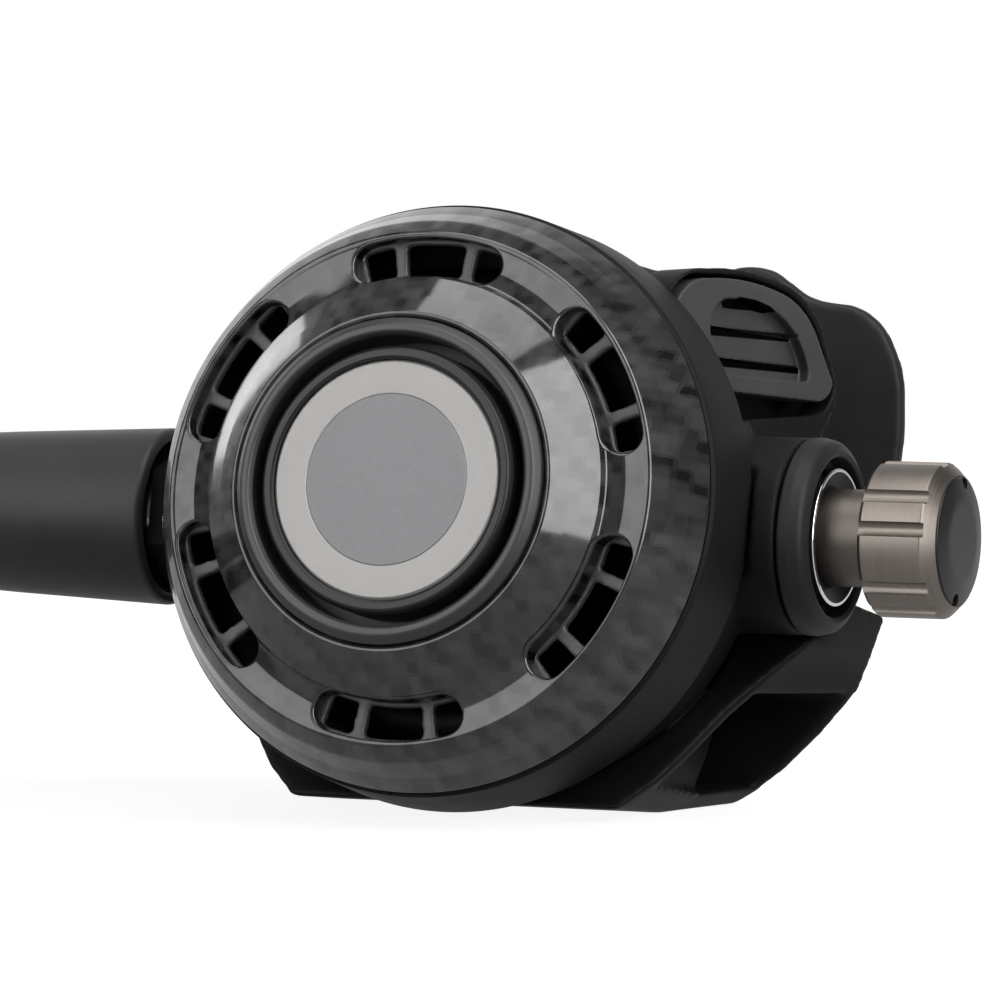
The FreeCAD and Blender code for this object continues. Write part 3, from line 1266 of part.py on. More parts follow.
def make_swivel():
    d.add("swivel_left", -58.0, "hose side of the swivel nut")
    d.add("swivel_right", -46.8, "barrel side of the swivel nut")
    d.add("swivel_corner", 9.7, "corners of the swivel nut")
    d.add("swivel_bore", 7.1, "bore over the barrel's thread")
    d.add("swivel_step", -55.1, "inner shoulder of the swivel nut")
    d.add("swivel_neck_bore", 5.15, "hole of the swivel nut round the stem")
    d.add("stem_flange_left", -54.95, "start of the hose stem's flange")
    d.add("stem_flange_right", -53.7, "end of that flange")
    d.add("stem_flange_radius", 6.4, "flange of the hose stem")
    d.add("stem_nose_right", -50.6, "end of the nose inside the barrel")
    d.add("stem_nose_radius", 4.5, "nose inside the barrel")
    d.add("stem_groove_x", -52.2, "station of the nose's seal")
    d.add("stem_groove_half", 0.65, "half width of its groove")
    d.add("stem_groove_radius", 3.5, "floor of its groove")
    d.add("hose_stem_radius", 5.0, "tube of the hose stem")
    d.add("hose_stem_shoulder", -61.6, "where the tube meets the ferrule")
    d.add("barb_radius", 3.2, "tail of the stem inside the hose")
    d.add("barb_end", -79.8, "end of the tail")
    d.add("hose_stem_bore", 2.0, "bore of the hose stem")
    d.add("swivel_seal_cord", 0.5, "cord radius of the stem's seal")
    body = new_body("swivel_nut")
    sketch = new_sketch(body, "swivel_outline", "YZ_Plane", d.swivel_left)
    hexagon(sketch, d.swivel_corner)
    pad(body, sketch, d.swivel_right - d.swivel_left)
    bore = new_sketch(body, "swivel_bore_outline", "XY_Plane")
    outline(bore, [
        (d.swivel_left - d.edge_break, 0),
        (d.swivel_right + d.edge_break, 0),
        (d.swivel_right + d.edge_break, d.swivel_bore),
        (d.swivel_step, d.swivel_bore),
        (d.swivel_step, d.swivel_neck_bore),
        (d.swivel_left - d.edge_break, d.swivel_neck_bore),
    ])
    groove(body, bore, AXIS_OF_BARREL)
    keep(body, "swivel_nut")
    turned("hose_stem", AXIS_OF_BARREL, [
        (d.barb_end, d.hose_stem_bore),
        (d.stem_nose_right, d.hose_stem_bore),
        (d.stem_nose_right, d.stem_nose_radius),
        (d.stem_groove_x + d.stem_groove_half, d.stem_nose_radius),
        (d.stem_groove_x + d.stem_groove_half, d.stem_groove_radius),
        (d.stem_groove_x - d.stem_groove_half, d.stem_groove_radius),
        (d.stem_groove_x - d.stem_groove_half, d.stem_nose_radius),
        (d.stem_flange_right, d.stem_nose_radius),
        (d.stem_flange_right, d.stem_flange_radius),
        (d.stem_flange_left, d.stem_flange_radius),
        (d.stem_flange_left, d.hose_stem_radius),
        (d.hose_stem_shoulder, d.hose_stem_radius),
        (d.hose_stem_shoulder, d.barb_radius),
        (d.barb_end, d.barb_radius),
    ])
    sealing_ring("swivel_seal", AXIS_OF_BARREL, d.stem_groove_x,
                 d.stem_groove_radius + d.swivel_seal_cord + d.running_fit, d.swivel_seal_cord)


def make_hose_protector():
    d.add("ferrule_left", -80.0, "hose end of the ferrule")
    d.add("ferrule_right", -61.7, "valve end of the ferrule")
    d.add("ferrule_radius", 7.6, "crimped ferrule")
    d.add("ferrule_bore", 3.25, "bore of the ferrule on the stem's tail")
    d.add("protector_right", -46.5, "end face of the hose protector")
    d.add("protector_mouth_radius", 11.6, "outside at the end face")
    d.add("protector_round", 0.8, "rounding of that edge")
    d.add("protector_waist_x", -69.0, "where the sleeve starts to taper")
    d.add("protector_waist_radius", 10.6, "outside there")
    d.add("protector_left", -104.0, "thin end of the sleeve")
    d.add("protector_end_radius", 8.6, "outside of the thin end")
    d.add("protector_bore", 10.0, "bore over the swivel nut")
    d.add("protector_bore_end", -60.0, "end of that bore")
    d.add("protector_ferrule_bore", 7.75, "bore over the ferrule")
    d.add("protector_step", -80.6, "end of the ferrule bore")
    d.add("protector_hose_bore", 5.75, "bore over the hose")
    turned("hose_ferrule", AXIS_OF_BARREL, [
        (d.ferrule_left, d.ferrule_bore),
        (d.ferrule_right, d.ferrule_bore),
        (d.ferrule_right, d.ferrule_radius - d.edge_break),
        (d.ferrule_right - d.edge_break, d.ferrule_radius),
        (d.ferrule_left, d.ferrule_radius),
    ])
    turned("hose_protector", AXIS_OF_BARREL, [
        (d.protector_left, d.protector_hose_bore),
        (d.protector_step, d.protector_hose_bore),
        (d.protector_step, d.protector_ferrule_bore),
        (d.protector_bore_end, d.protector_ferrule_bore),
        (d.protector_bore_end, d.protector_bore),
        (d.protector_right, d.protector_bore),
        (d.protector_right, d.protector_mouth_radius - d.protector_round),
        (d.protector_right - d.protector_round, d.protector_mouth_radius, d.protector_round),
        (d.protector_waist_x, d.protector_waist_radius),
        (d.protector_left, d.protector_end_radius),
    ])


def make_flow_lever():
    d.add("shaft_radius", 1.5, "shaft of the flow lever")
    d.add("shaft_start", -4.6, "start of the shaft behind the lever's face")
    d.add("shaft_end", -35.0, "end of the shaft")
    d.add("recess_depth", 1.6, "recess in the lever's face")
    d.add("recess_left", 1.6, "left side of the recess")
    d.add("recess_low_left", 4.6, "lower left corner of the recess")
    d.add("recess_low", 20.6, "lower edge of the recess, left")
    d.add("recess_low_right", 22.4, "lower edge of the recess, right")
    d.add("recess_mid_left", 25.6, "left corner of the recess")
    d.add("recess_top_left", 4.6, "start of the recess's top")
    d.add("recess_top", 30.6, "top of the recess")
    d.add("recess_top_right", 12.4, "end of the recess's top")
    d.add("recess_right", 20.9, "right end of the recess")
    d.add("recess_right_height", 24.0, "its height")
    d.add("recess_corner", 4.0, "rounding of the recess's top left corner")
    d.add("louvre_rise", 3.9, "rise from one louvre to the next")
    d.add("louvre_foot", 22.2, "foot of the lowest louvre at its left end")
    d.add("louvre_slant", 1.5, "rise of a louvre's foot from left to right")
    d.add("louvre_inset", 0.5, "gap between the lowest louvre and the recess's right end")
    d.add("louvre_depth", 1.6, "extra depth under a louvre's edge")
    d.add("louvre_height", 0.7, "height of the shadow gap under a louvre")
    d.add("louvre_step", 1.9, "how far each louvre is shorter than the one below")
    d.add("shaft_tail_radius", 1.1, "thin end of the shaft inside the mouth tube")
    d.add("seal_station", -6.1, "station of the shaft's seal")
    d.add("lever_seal_cord", 0.5, "cord radius of the shaft's seal")
    d.add("vane_start", -29.6, "start of the flow vane on the shaft")
    d.add("vane_end", -34.6, "end of the flow vane")
    d.add("vane_drop", 7.0, "how far the vane hangs into the mouth tube")
    d.add("vane_half", 0.6, "half thickness of the vane")
    d.add("vane_hub_radius", 1.7, "hub of the vane")
    body = new_body("flow_lever")
    face = flow_plane_sketch(body, "lever_outline", 0)
    outline(face, [
        (d.flow_left, d.flow_left_low),
        (d.flow_foot_middle, d.flow_foot_middle_height),
        (d.flow_foot_end, d.flow_foot_end_height),
        (d.flow_tip, d.flow_tip_height, d.flow_tip_round),
        (d.flow_shoulder, d.flow_shoulder_height),
        (d.flow_top_end, d.flow_top_end_height, d.flow_shoulder_round),
        (d.flow_top_start, d.flow_top_start_height, d.flow_crown),
        (d.flow_left, d.flow_left_high, d.flow_corner),
    ])
    pad(body, face, d.flow_thickness, reverse=True)
    shaft = flow_plane_sketch(body, "shaft_outline", d.shaft_start)
    circle_in(shaft, d.flow_pivot, d.flow_pivot_height, d.shaft_radius)
    pad(body, shaft, d.shaft_start - d.vane_start, reverse=True)
    tail = flow_plane_sketch(body, "shaft_tail_outline", d.vane_start)
    circle_in(tail, d.flow_pivot, d.flow_pivot_height, d.shaft_tail_radius)
    pad(body, tail, d.vane_start - d.shaft_end, reverse=True)
    recess = flow_plane_sketch(body, "recess_outline", 0)
    outline(recess, [
        (d.recess_low_left, d.recess_low),
        (d.recess_right, d.recess_low_right),
        (d.recess_right, d.recess_right_height),
        (d.recess_top_right, d.recess_top, d.flow_shoulder_round),
        (d.recess_top_left, d.recess_top),
        (d.recess_left, d.recess_mid_left, d.recess_corner),
    ])
    pocket(body, recess, d.recess_depth)
    for count in range(2):
        foot = d.louvre_foot + count * d.louvre_rise
        right = d.recess_right - d.louvre_inset - d.louvre_step * count
        shade = flow_plane_sketch(body, "louvre_%d_outline" % count, 0)
        outline(shade, [
            (d.recess_low_left, foot),
            (right, foot + d.louvre_slant),
            (right, foot + d.louvre_slant + d.louvre_height),
            (d.recess_low_left, foot + d.louvre_height),
        ])
        pocket(body, shade, d.recess_depth + d.louvre_depth)
    keep(body, "flow_lever")
    vane = new_body("flow_vane")
    blade = flow_plane_sketch(vane, "vane_outline", d.vane_start)
    outline(blade, [
        (d.flow_pivot - d.vane_half, d.flow_pivot_height - d.vane_drop),
        (d.flow_pivot + d.vane_half, d.flow_pivot_height - d.vane_drop),
        (d.flow_pivot + d.vane_half, d.flow_pivot_height),
        (d.flow_pivot - d.vane_half, d.flow_pivot_height),
    ])
    pad(vane, blade, d.vane_start - d.vane_end, reverse=True)
    hub = flow_plane_sketch(vane, "vane_hub_outline", d.vane_start)
    circle_in(hub, d.flow_pivot, d.flow_pivot_height, d.vane_hub_radius)
    pad(vane, hub, d.vane_start - d.vane_end, reverse=True)
    hole = flow_plane_sketch(vane, "vane_hole_outline", d.vane_start)
    circle_in(hole, d.flow_pivot, d.flow_pivot_height, d.shaft_tail_radius + d.running_fit)
    pocket(vane, hole, d.vane_start - d.vane_end)
    keep(vane, "flow_vane")
    seal = new_body("lever_seal")
    section = flow_plane_sketch(seal, "lever_seal_outline", d.seal_station)
    circle_in(section, d.flow_pivot, d.flow_pivot_height, d.seal_bore - d.running_fit)
    circle_in(section, d.flow_pivot, d.flow_pivot_height, d.shaft_radius + d.running_fit)
    pad(seal, section, 2 * d.lever_seal_cord, reverse=True)
    keep(seal, "lever_seal")


def both_sides(half):
    """Add the mirror image of a right half that starts and ends on the middle line."""
    full = list(half)
    full[0] = half[0][:2] + half[1][2:]
    for place in range(len(half) - 1, 1, -1):
        previous = half[place - 1]
        full.append((-previous[0], previous[1]) + half[place][2:])
    return full


def make_exhaust_valve():
    d.add("flap_front", 17.1, "front of the exhaust valve's flap")
    d.add("flap_thickness", 0.9, "thickness of the flap")
    d.add("flap_radius", 12.6, "outside of the flap")
    d.add("valve_stem_radius", 1.2, "stem of the exhaust valve")
    d.add("valve_stem_front", 8.6, "front end of the stem")
    d.add("valve_barb_radius", 1.25, "bulb of the stem")
    body = new_body("exhaust_valve")
    sketch = new_sketch(body, "valve_outline", "XY_Plane", d.exhaust_z)
    outline(sketch, [
        (0, d.valve_stem_front),
        (d.valve_stem_radius, d.valve_stem_front),
        (d.valve_stem_radius, d.flap_front),
        (d.flap_radius, d.flap_front),
        (d.flap_radius, d.flap_front + d.flap_thickness),
        (0, d.flap_front + d.flap_thickness),
    ])
    revolve(body, sketch, AXIS_OF_COVER)
    keep(body, "exhaust_valve")


def make_exhaust_tee():
    d.add("tee_tilt", 25.0, "lean of the tee's front face, degrees")
    d.add("tee_front", 8.5, "where the front face meets the barrel's level")
    d.add("tee_back", 22.0, "back face of the tee")
    d.add("tee_front_foot", 22.5, "front ridge, foot")
    d.add("tee_front_bottom", -40.8, "its place down the front face")
    d.add("tee_front_shin", 27.0, "front ridge, shin")
    d.add("tee_front_shin_height", -36.2, "its place down the front face")
    d.add("tee_front_low", 30.0, "front ridge, low point")
    d.add("tee_front_low_height", -31.7, "its place down the front face")
    d.add("tee_front_middle", 33.4, "front ridge, middle point")
    d.add("tee_front_middle_height", -25.9, "its place down the front face")
    d.add("tee_front_high", 37.4, "front ridge, high point")
    d.add("tee_front_high_height", -20.7, "its place down the front face")
    d.add("tee_front_wing", 42.4, "front ridge, wing")
    d.add("tee_front_wing_height", -14.9, "its place down the front face")
    d.add("tee_front_top", 43.4, "front ridge, top")
    d.add("tee_back_foot", 13.0, "end of the back lip's run under the foot")
    d.add("tee_bottom", -40.0, "lower limit of the tee before its foot is cut flat")
    d.add("tee_back_shin", 28.9, "back lip, shin")
    d.add("tee_back_shin_height", -30.8, "its height")
    d.add("tee_back_low", 33.3, "back lip, low point")
    d.add("tee_back_low_height", -27.3, "its height")
    d.add("tee_back_middle", 38.4, "back lip, middle point")
    d.add("tee_back_middle_height", -21.9, "its height")
    d.add("tee_back_high", 42.5, "back lip, high point")
    d.add("tee_back_high_height", -16.6, "its height")
    d.add("tee_back_wing", 43.9, "back lip, wing")
    d.add("tee_back_wing_height", -12.3, "its height")
    d.add("tee_back_top", 45.4, "back lip, top")
    d.add("tee_top", -7.0, "height of the wings' tops")
    d.add("tee_hood_half", 14.0, "half width of the hood behind the case")
    d.add("tee_hood_height", -1.2, "top of the hood")
    d.add("tee_reach", 60.0, "reach of the cuts through the tee")
    d.add("duct_front_low", 9.0, "front of the duct at its floor")
    d.add("duct_back", 20.2, "back of the duct")
    d.add("duct_floor_front", -32.3, "floor of the duct, front")
    d.add("duct_floor_back", -29.8, "floor of the duct, back")
    d.add("duct_top", -19.3, "top of the duct")
    d.add("duct_top_front", 16.3, "front of the duct's top")
    d.add("duct_bend_front", 12.8, "front of the duct half way up")
    d.add("duct_bend_height", -27.0, "height of that point")
    d.add("port_start", 26.0, "where the side ports start")
    d.add("port_front_low", -4.8, "front of the side ports at their floor")
    d.add("port_floor_front", -33.4, "floor of the side ports, front")
    d.add("port_front_high", 1.3, "front of the side ports at their top")
    d.add("port_top_front", -20.2, "top of the side ports, front")
    d.add("port_top_back", -17.4, "top of the side ports, back")
    d.add("port_reach", 30.0, "reach of the port cuts")
    d.add("socket_fit", 0.35, "gap round the exhaust boss in the tee")
    d.add("socket_front", 5.0, "start of the socket round the exhaust boss")
    d.add("chin_start", 7.0, "station where the flat foot ends and the chin rises")
    d.add("chin_reach", -12.0, "front limit of the cut under the chin")
    d.add("chin_limit", -37.3, "height of that cut at its front limit")
    body = new_body("exhaust_tee")
    front = new_sketch(body, "tee_front_outline", "XZ_Plane", -d.tee_front)
    tilt = FreeCAD.Rotation(FreeCAD.Vector(-1, 0, 0), d.tee_tilt.value)
    front.AttachmentOffset = FreeCAD.Placement(FreeCAD.Vector(0, 0, -d.tee_front.value), tilt)
    bind(front, "AttachmentOffset.Rotation.Angle", d.tee_tilt)
    outline(front, both_sides([
        (0, d.tee_hood_height),
        (d.tee_hood_half, d.tee_hood_height),
        (d.tee_front_top, d.tee_top),
        (d.tee_front_wing, d.tee_front_wing_height),
        (d.tee_front_high, d.tee_front_high_height),
        (d.tee_front_middle, d.tee_front_middle_height),
        (d.tee_front_low, d.tee_front_low_height),
        (d.tee_front_shin, d.tee_front_shin_height),
        (d.tee_front_foot, d.tee_front_bottom),
        (0, d.tee_front_bottom),
    ]))
    back = new_sketch(body, "tee_back_outline", "XZ_Plane", -d.tee_back)
    outline(back, both_sides([
        (0, d.tee_hood_height),
        (d.tee_hood_half, d.tee_hood_height),
        (d.tee_back_top, d.tee_top),
        (d.tee_back_wing, d.tee_back_wing_height),
        (d.tee_back_high, d.tee_back_high_height),
        (d.tee_back_middle, d.tee_back_middle_height),
        (d.tee_back_low, d.tee_back_low_height),
        (d.tee_back_shin, d.tee_back_shin_height),
        (d.tee_back_foot, d.tee_bottom),
        (0, d.tee_bottom),
    ]))
    block = feature(body, "AdditiveLoft", front, "between_ridge_and_lip")
    block.Sections = [back]
    block.Ruled = True
    back.Visibility = False
    envelope = new_sketch(body, "case_room_outline", "XY_Plane")
    gap = d.loose_fit
    outline(envelope, [
        (0, d.chin_reach),
        (d.case_front_radius + gap, d.chin_reach),
        (d.case_front_radius + gap, d.case_shoulder),
        (d.case_side_radius + gap, d.case_side_back),
        (d.case_hip_radius + gap, d.case_hip_back + gap, d.case_hip_round + gap),
        (d.case_back_radius + gap, d.case_back_back + gap, d.case_back_round + gap),
        (d.case_heel_radius + gap, d.case_heel_back + gap, d.case_heel_round + gap),
        (d.case_flat_radius, d.case_end + gap, d.case_end_round + gap),
        (0, d.case_end + gap),
    ])
    groove(body, envelope, AXIS_OF_COVER)
    boss = new_sketch(body, "boss_room_outline", "YZ_Plane", -d.tee_reach)
    circle_in(boss, 0, 0, d.boss_radius + gap)
    pocket(body, boss, 2 * d.tee_reach, reverse=True)
    socket = new_sketch(body, "socket_outline", "XZ_Plane", -d.socket_front)
    circle_in(socket, 0, d.exhaust_z, d.exhaust_boss_radius + d.socket_fit)
    pocket(body, socket, d.duct_back - d.socket_front)
    duct = new_sketch(body, "duct_outline", "YZ_Plane", -d.tee_reach)
    outline(duct, [
        (d.duct_front_low, d.duct_floor_front),
        (d.duct_back, d.duct_floor_back),
        (d.duct_back, d.duct_top),
        (d.duct_top_front, d.duct_top),
        (d.duct_bend_front, d.duct_bend_height),
    ])
    pocket(body, duct, 2 * d.tee_reach, reverse=True)
    for side in (1, -1):
        port = new_sketch(body, "port_outline_%d" % (side + 1), "YZ_Plane", side * d.port_start)
        outline(port, [
            (d.port_front_low, d.port_floor_front),
            (d.duct_front_low, d.duct_floor_front),
            (d.duct_back, d.duct_floor_back),
            (d.duct_back, d.port_top_back),
            (d.port_front_high, d.port_top_front),
        ])
        pocket(body, port, d.port_reach, reverse=(side == 1))
    foot = new_sketch(body, "foot_outline", "YZ_Plane", -d.tee_reach)
    lowest = -(d.axis_height / cosine(d.lean_angle))
    slope = sine(d.lean_angle) / cosine(d.lean_angle)
    under = d.tee_bottom + d.tee_bottom / 10
    outline(foot, [
        (d.chin_reach, under),
        (d.tee_reach, under),
        (d.tee_reach, lowest + slope * d.tee_reach),
        (d.chin_start, lowest + slope * d.chin_start),
        (d.chin_reach, d.chin_limit),
    ])
    pocket(body, foot, 2 * d.tee_reach, reverse=True)
    keep(body, "exhaust_tee")


def mouth_body(name):
    """Start a part on the level mouth axis, with its origin at the mouth tube's root."""
    tilt = d.lean_angle
    back = d.axis_setback + d.mouth_root_y * cosine(tilt) + d.mouth_root_z * sine(tilt)
    height = d.axis_height - d.mouth_root_y * sine(tilt) + d.mouth_root_z * cosine(tilt)
    body = doc.addObject("PartDesign::Body", name)
    body.Label = name
    stand(body, 0, back, height)
    return body


def tube_step(body, name, start, end, half_width, half_height):
    """Add a straight length of oval tube between two stations of the mouth axis."""
    sketch = new_sketch(body, name, "XZ_Plane", -start)
    stadium(sketch, half_width, half_height)
    return pad(body, sketch, end - start, reverse=True)


def make_mouthpiece():
    d.add("flange_front", 44.9, "front of the lip flange at its middle")
    d.add("flange_thickness", 2.2, "lip flange")
    d.add("flange_bow", 145.0, "curve of the flange round the teeth")
    d.add("flange_reach", 34.0, "reach of the cuts that curve the flange")
    d.add("flange_back", 54.0, "back limit of the flange blank")
    d.add("notch_height", 21.6, "dip in the middle of the flange's top")
    d.add("lobe_start_x", 5.6, "rise beside the dip")
    d.add("lobe_start_z", 22.2, "its height")
    d.add("lobe_end_x", 12.6, "end of the top lobe")
    d.add("lobe_end_z", 22.1, "its height")
    d.add("saddle_x", 16.4, "slope beside the lobe")
    d.add("saddle_z", 19.3, "its height")
    d.add("bump_x", 19.8, "start of the side's shoulder")
    d.add("bump_z", 18.2, "its height")
    d.add("bump_end_x", 22.6, "end of the side's shoulder")
    d.add("bump_end_z", 17.9, "its height")
    d.add("side_top_x", 28.1, "top of the side")
    d.add("side_top_z", 13.2, "its height")
    d.add("side_x", 29.9, "widest point of the side")
    d.add("side_z", 4.5, "its height")
    d.add("side_low_x", 27.6, "lower side")
    d.add("side_low_z", -9.5, "its height")
    d.add("chin_x", 19.5, "lower corner")
    d.add("chin_z", -17.2, "its height")
    d.add("chin_low_z", -20.5, "middle of the flange's lower edge")
    d.add("lobe_round", 9.0, "rounding of the top lobe")
    d.add("saddle_round", 9.0, "hollow beside the lobe")
    d.add("shoulder_round", 8.0, "rounding of the side's shoulder")
    d.add("side_round", 17.0, "rounding of the side's top")
    d.add("side_low_round", 32.0, "rounding of the lower side")
    d.add("chin_round", 15.0, "rounding of the lower corner")
    d.add("chin_low_round", 60.0, "rounding of the lower edge")
    d.add("socket_start", 12.8, "start of the mouthpiece's socket")
    d.add("band_start", 15.0, "start of the clamp's groove")
    d.add("band_end", 20.2, "end of the clamp's groove")
    d.add("socket_end", 26.0, "end of the socket")
    d.add("socket_half_width", 18.2, "half width of the socket")
    d.add("socket_half_height", 13.7, "half height of the socket")
    d.add("band_depth", 0.9, "depth of the clamp's groove")
    d.add("neck_half_width", 15.0, "half width of the neck at the flange")
    d.add("neck_half_height", 9.6, "half height of the neck at the flange")
    d.add("neck_end", 45.6, "end of the neck")
    d.add("spigot_fit", 0.3, "gap round the mouth tube in its socket")
    d.add("socket_floor", 23.6, "floor of the socket")
    d.add("throat_half_width", 12.4, "half width of the mouthpiece's bore")
    d.add("throat_half_height", 7.0, "half height of the mouthpiece's bore")
    d.add("throat_end", 75.0, "reach of the bore cut")
    d.add("lip_tube_end", 58.0, "end of the tube behind the flange")
    d.add("tab_inner", 12.6, "inner side of the bite tabs")
    d.add("tab_outer", 24.6, "outer side of the bite tabs")
    d.add("tab_start", 48.5, "start of the bite tabs")
    d.add("tab_end", 68.0, "end of the bite tabs")
    d.add("tab_corner", 6.5, "rounding of the tabs' outer ends")
    d.add("tab_half_thickness", 1.6, "half thickness of the bite tabs")
    d.add("tab_ridge_start", 64.8, "start of the ridge across the tabs")
    d.add("tab_ridge_half", 4.6, "half height of that ridge")
    body = mouth_body("mouthpiece")
    blank = new_sketch(body, "flange_outline", "XZ_Plane", -(d.flange_front - d.flange_thickness))
    outline(blank, both_sides([
        (0, d.notch_height),
        (d.lobe_start_x, d.lobe_start_z),
        (d.lobe_end_x, d.lobe_end_z, -d.lobe_round),
        (d.saddle_x, d.saddle_z),
        (d.bump_x, d.bump_z, d.saddle_round),
        (d.bump_end_x, d.bump_end_z),
        (d.side_top_x, d.side_top_z, -d.shoulder_round),
        (d.side_x, d.side_z, -d.side_round),
        (d.side_low_x, d.side_low_z, -d.side_low_round),
        (d.chin_x, d.chin_z, -d.chin_round),
        (0, d.chin_low_z, -d.chin_low_round),
    ]))
    pad(body, blank, d.flange_back - d.flange_front + d.flange_thickness, reverse=True)
    bow = d.flange_bow - root(d.flange_bow * d.flange_bow - d.flange_reach * d.flange_reach)
    ahead = new_sketch(body, "front_bow_outline", "XY_Plane")
    outline(ahead, [
        (-d.flange_reach, d.flange_front + bow, -d.flange_bow),
        (-d.flange_reach, d.flange_front - 2 * d.flange_thickness),
        (d.flange_reach, d.flange_front - 2 * d.flange_thickness),
        (d.flange_reach, d.flange_front + bow),
        (0, d.flange_front, -d.flange_bow),
    ])
    pocket(body, ahead, 2 * d.flange_reach, both=True)
    behind = new_sketch(body, "back_bow_outline", "XY_Plane")
    inner = d.flange_bow - d.flange_thickness
    inner_bow = inner - root(inner * inner - d.flange_reach * d.flange_reach)
    back_middle = d.flange_front + d.flange_thickness
    outline(behind, [
        (0, back_middle, inner),
        (d.flange_reach, back_middle + inner_bow, inner),
        (d.flange_reach, d.flange_back + bow),
        (-d.flange_reach, d.flange_back + bow),
        (-d.flange_reach, back_middle + inner_bow),
    ])
    pocket(body, behind, 2 * d.flange_reach, both=True)
    tube_step(body, "socket_start_outline", d.socket_start, d.band_start,
              d.socket_half_width, d.socket_half_height)
    tube_step(body, "band_outline", d.band_start, d.band_end,
              d.socket_half_width - d.band_depth, d.socket_half_height - d.band_depth)
    tube_step(body, "socket_end_outline", d.band_end, d.socket_end,
              d.socket_half_width, d.socket_half_height)
    wide = new_sketch(body, "neck_start_outline", "XZ_Plane", -d.socket_end)
    stadium(wide, d.socket_half_width, d.socket_half_height)
    narrow = new_sketch(body, "neck_end_outline", "XZ_Plane", -d.neck_end)
    stadium(narrow, d.neck_half_width, d.neck_half_height)
    neck = feature(body, "AdditiveLoft", wide, "neck")
    neck.Sections = [narrow]
    narrow.Visibility = False
    tube_step(body, "lip_tube_outline", d.neck_end, d.lip_tube_end,
              d.neck_half_width - d.band_depth, d.neck_half_height - d.band_depth)
    for side in (1, -1):
        tab = new_sketch(body, "tab_outline_%d" % (side + 1), "XY_Plane")
        corners = [
            (side * d.tab_inner, d.tab_start),
            (side * d.tab_outer, d.tab_start),
            (side * d.tab_outer, d.tab_end - d.tab_corner),
            (side * (d.tab_outer - d.tab_corner), d.tab_end, side * d.tab_corner),
            (side * d.tab_inner, d.tab_end),
        ]
        outline(tab, corners)
        pad(body, tab, 2 * d.tab_half_thickness, both=True)
        ridge = new_sketch(body, "ridge_outline_%d" % (side + 1), "XY_Plane")
        outline(ridge, [
            (side * d.tab_inner, d.tab_ridge_start),
            (side * (d.tab_outer - d.tab_corner), d.tab_ridge_start),
            (side * (d.tab_outer - d.tab_corner), d.tab_end),
            (side * d.tab_inner, d.tab_end),
        ])
        pad(body, ridge, 2 * d.tab_ridge_half, both=True)
    inside = new_sketch(body, "socket_bore_outline", "XZ_Plane", -d.socket_start)
    stadium(inside, d.spigot_half_width + d.spigot_fit, d.spigot_half_height + d.spigot_fit)
    pocket(body, inside, d.socket_floor - d.socket_start)
    throat = new_sketch(body, "throat_outline", "XZ_Plane", -d.socket_start)
    stadium(throat, d.throat_half_width, d.throat_half_height)
    pocket(body, throat, d.throat_end - d.socket_start)
    keep(body, "mouthpiece")


def make_mouthpiece_clamp():
    d.add("clamp_start", 15.4, "front edge of the clamp's band")
    d.add("clamp_end", 19.8, "back edge of the clamp's band")
    d.add("clamp_thickness", 1.2, "thickness of the band")
    d.add("buckle_half_width", 4.5, "half width of the clamp's buckle")
    d.add("buckle_rise", 2.6, "height of the buckle above the band's groove")
    body = mouth_body("mouthpiece_clamp")
    width = d.socket_half_width - d.band_depth + d.running_fit
    height = d.socket_half_height - d.band_depth + d.running_fit
    band = new_sketch(body, "clamp_outline", "XZ_Plane", -d.clamp_start)
    stadium(band, width + d.clamp_thickness, height + d.clamp_thickness)
    stadium(band, width, height)
    pad(body, band, d.clamp_end - d.clamp_start, reverse=True)
    buckle = new_sketch(body, "buckle_outline", "XZ_Plane", -d.clamp_start)
    outline(buckle, [
        (-d.buckle_half_width, height + d.edge_break),
        (d.buckle_half_width, height + d.edge_break),
        (d.buckle_half_width, height + d.buckle_rise),
        (-d.buckle_half_width, height + d.buckle_rise),
    ])
    pad(body, buckle, d.clamp_end - d.clamp_start, reverse=True)
    keep(body, "mouthpiece_clamp")


def hose_sizes():
    d.add("hose_radius", 5.5, "outside of the hose")
    d.add("hose_first_run", 41.0, "level run of the hose's route from the ferrule")
    d.add("hose_slope_level", 24.2, "level reach of the sloping run")
    d.add("hose_last_run", 20.0, "last run before the coil")
    d.add("coil_top", 17.2, "height of the coil's upper layer")
    d.add("coil_bottom", 5.55, "height of the coil's lower layer")
    d.add("coil_radius", 56.0, "radius of the coil's turns")
    d.add("coil_lead_in", 4.0, "straight start of the coil")
    d.add("tail_flat", 50.0, "free end of the hose on the ground beside the coil")
    d.add("tail_run", 32.0, "last length of the hose, which rises to its fitting")
    d.add("tail_height", 8.5, "height of the fitting at the free end")
    d.add("bend_share", 15.2, "length from a corner of the route to the bend's ends")


def hose_route():
    """The lead's corner points, straight out, down to the coil and level again."""
    first = d.ferrule_left - d.hose_first_run
    second = first - d.hose_slope_level
    third = second - d.hose_last_run
    return [(d.ferrule_left, d.axis_height), (first, d.axis_height),
            (second, d.coil_top), (third, d.coil_top)]


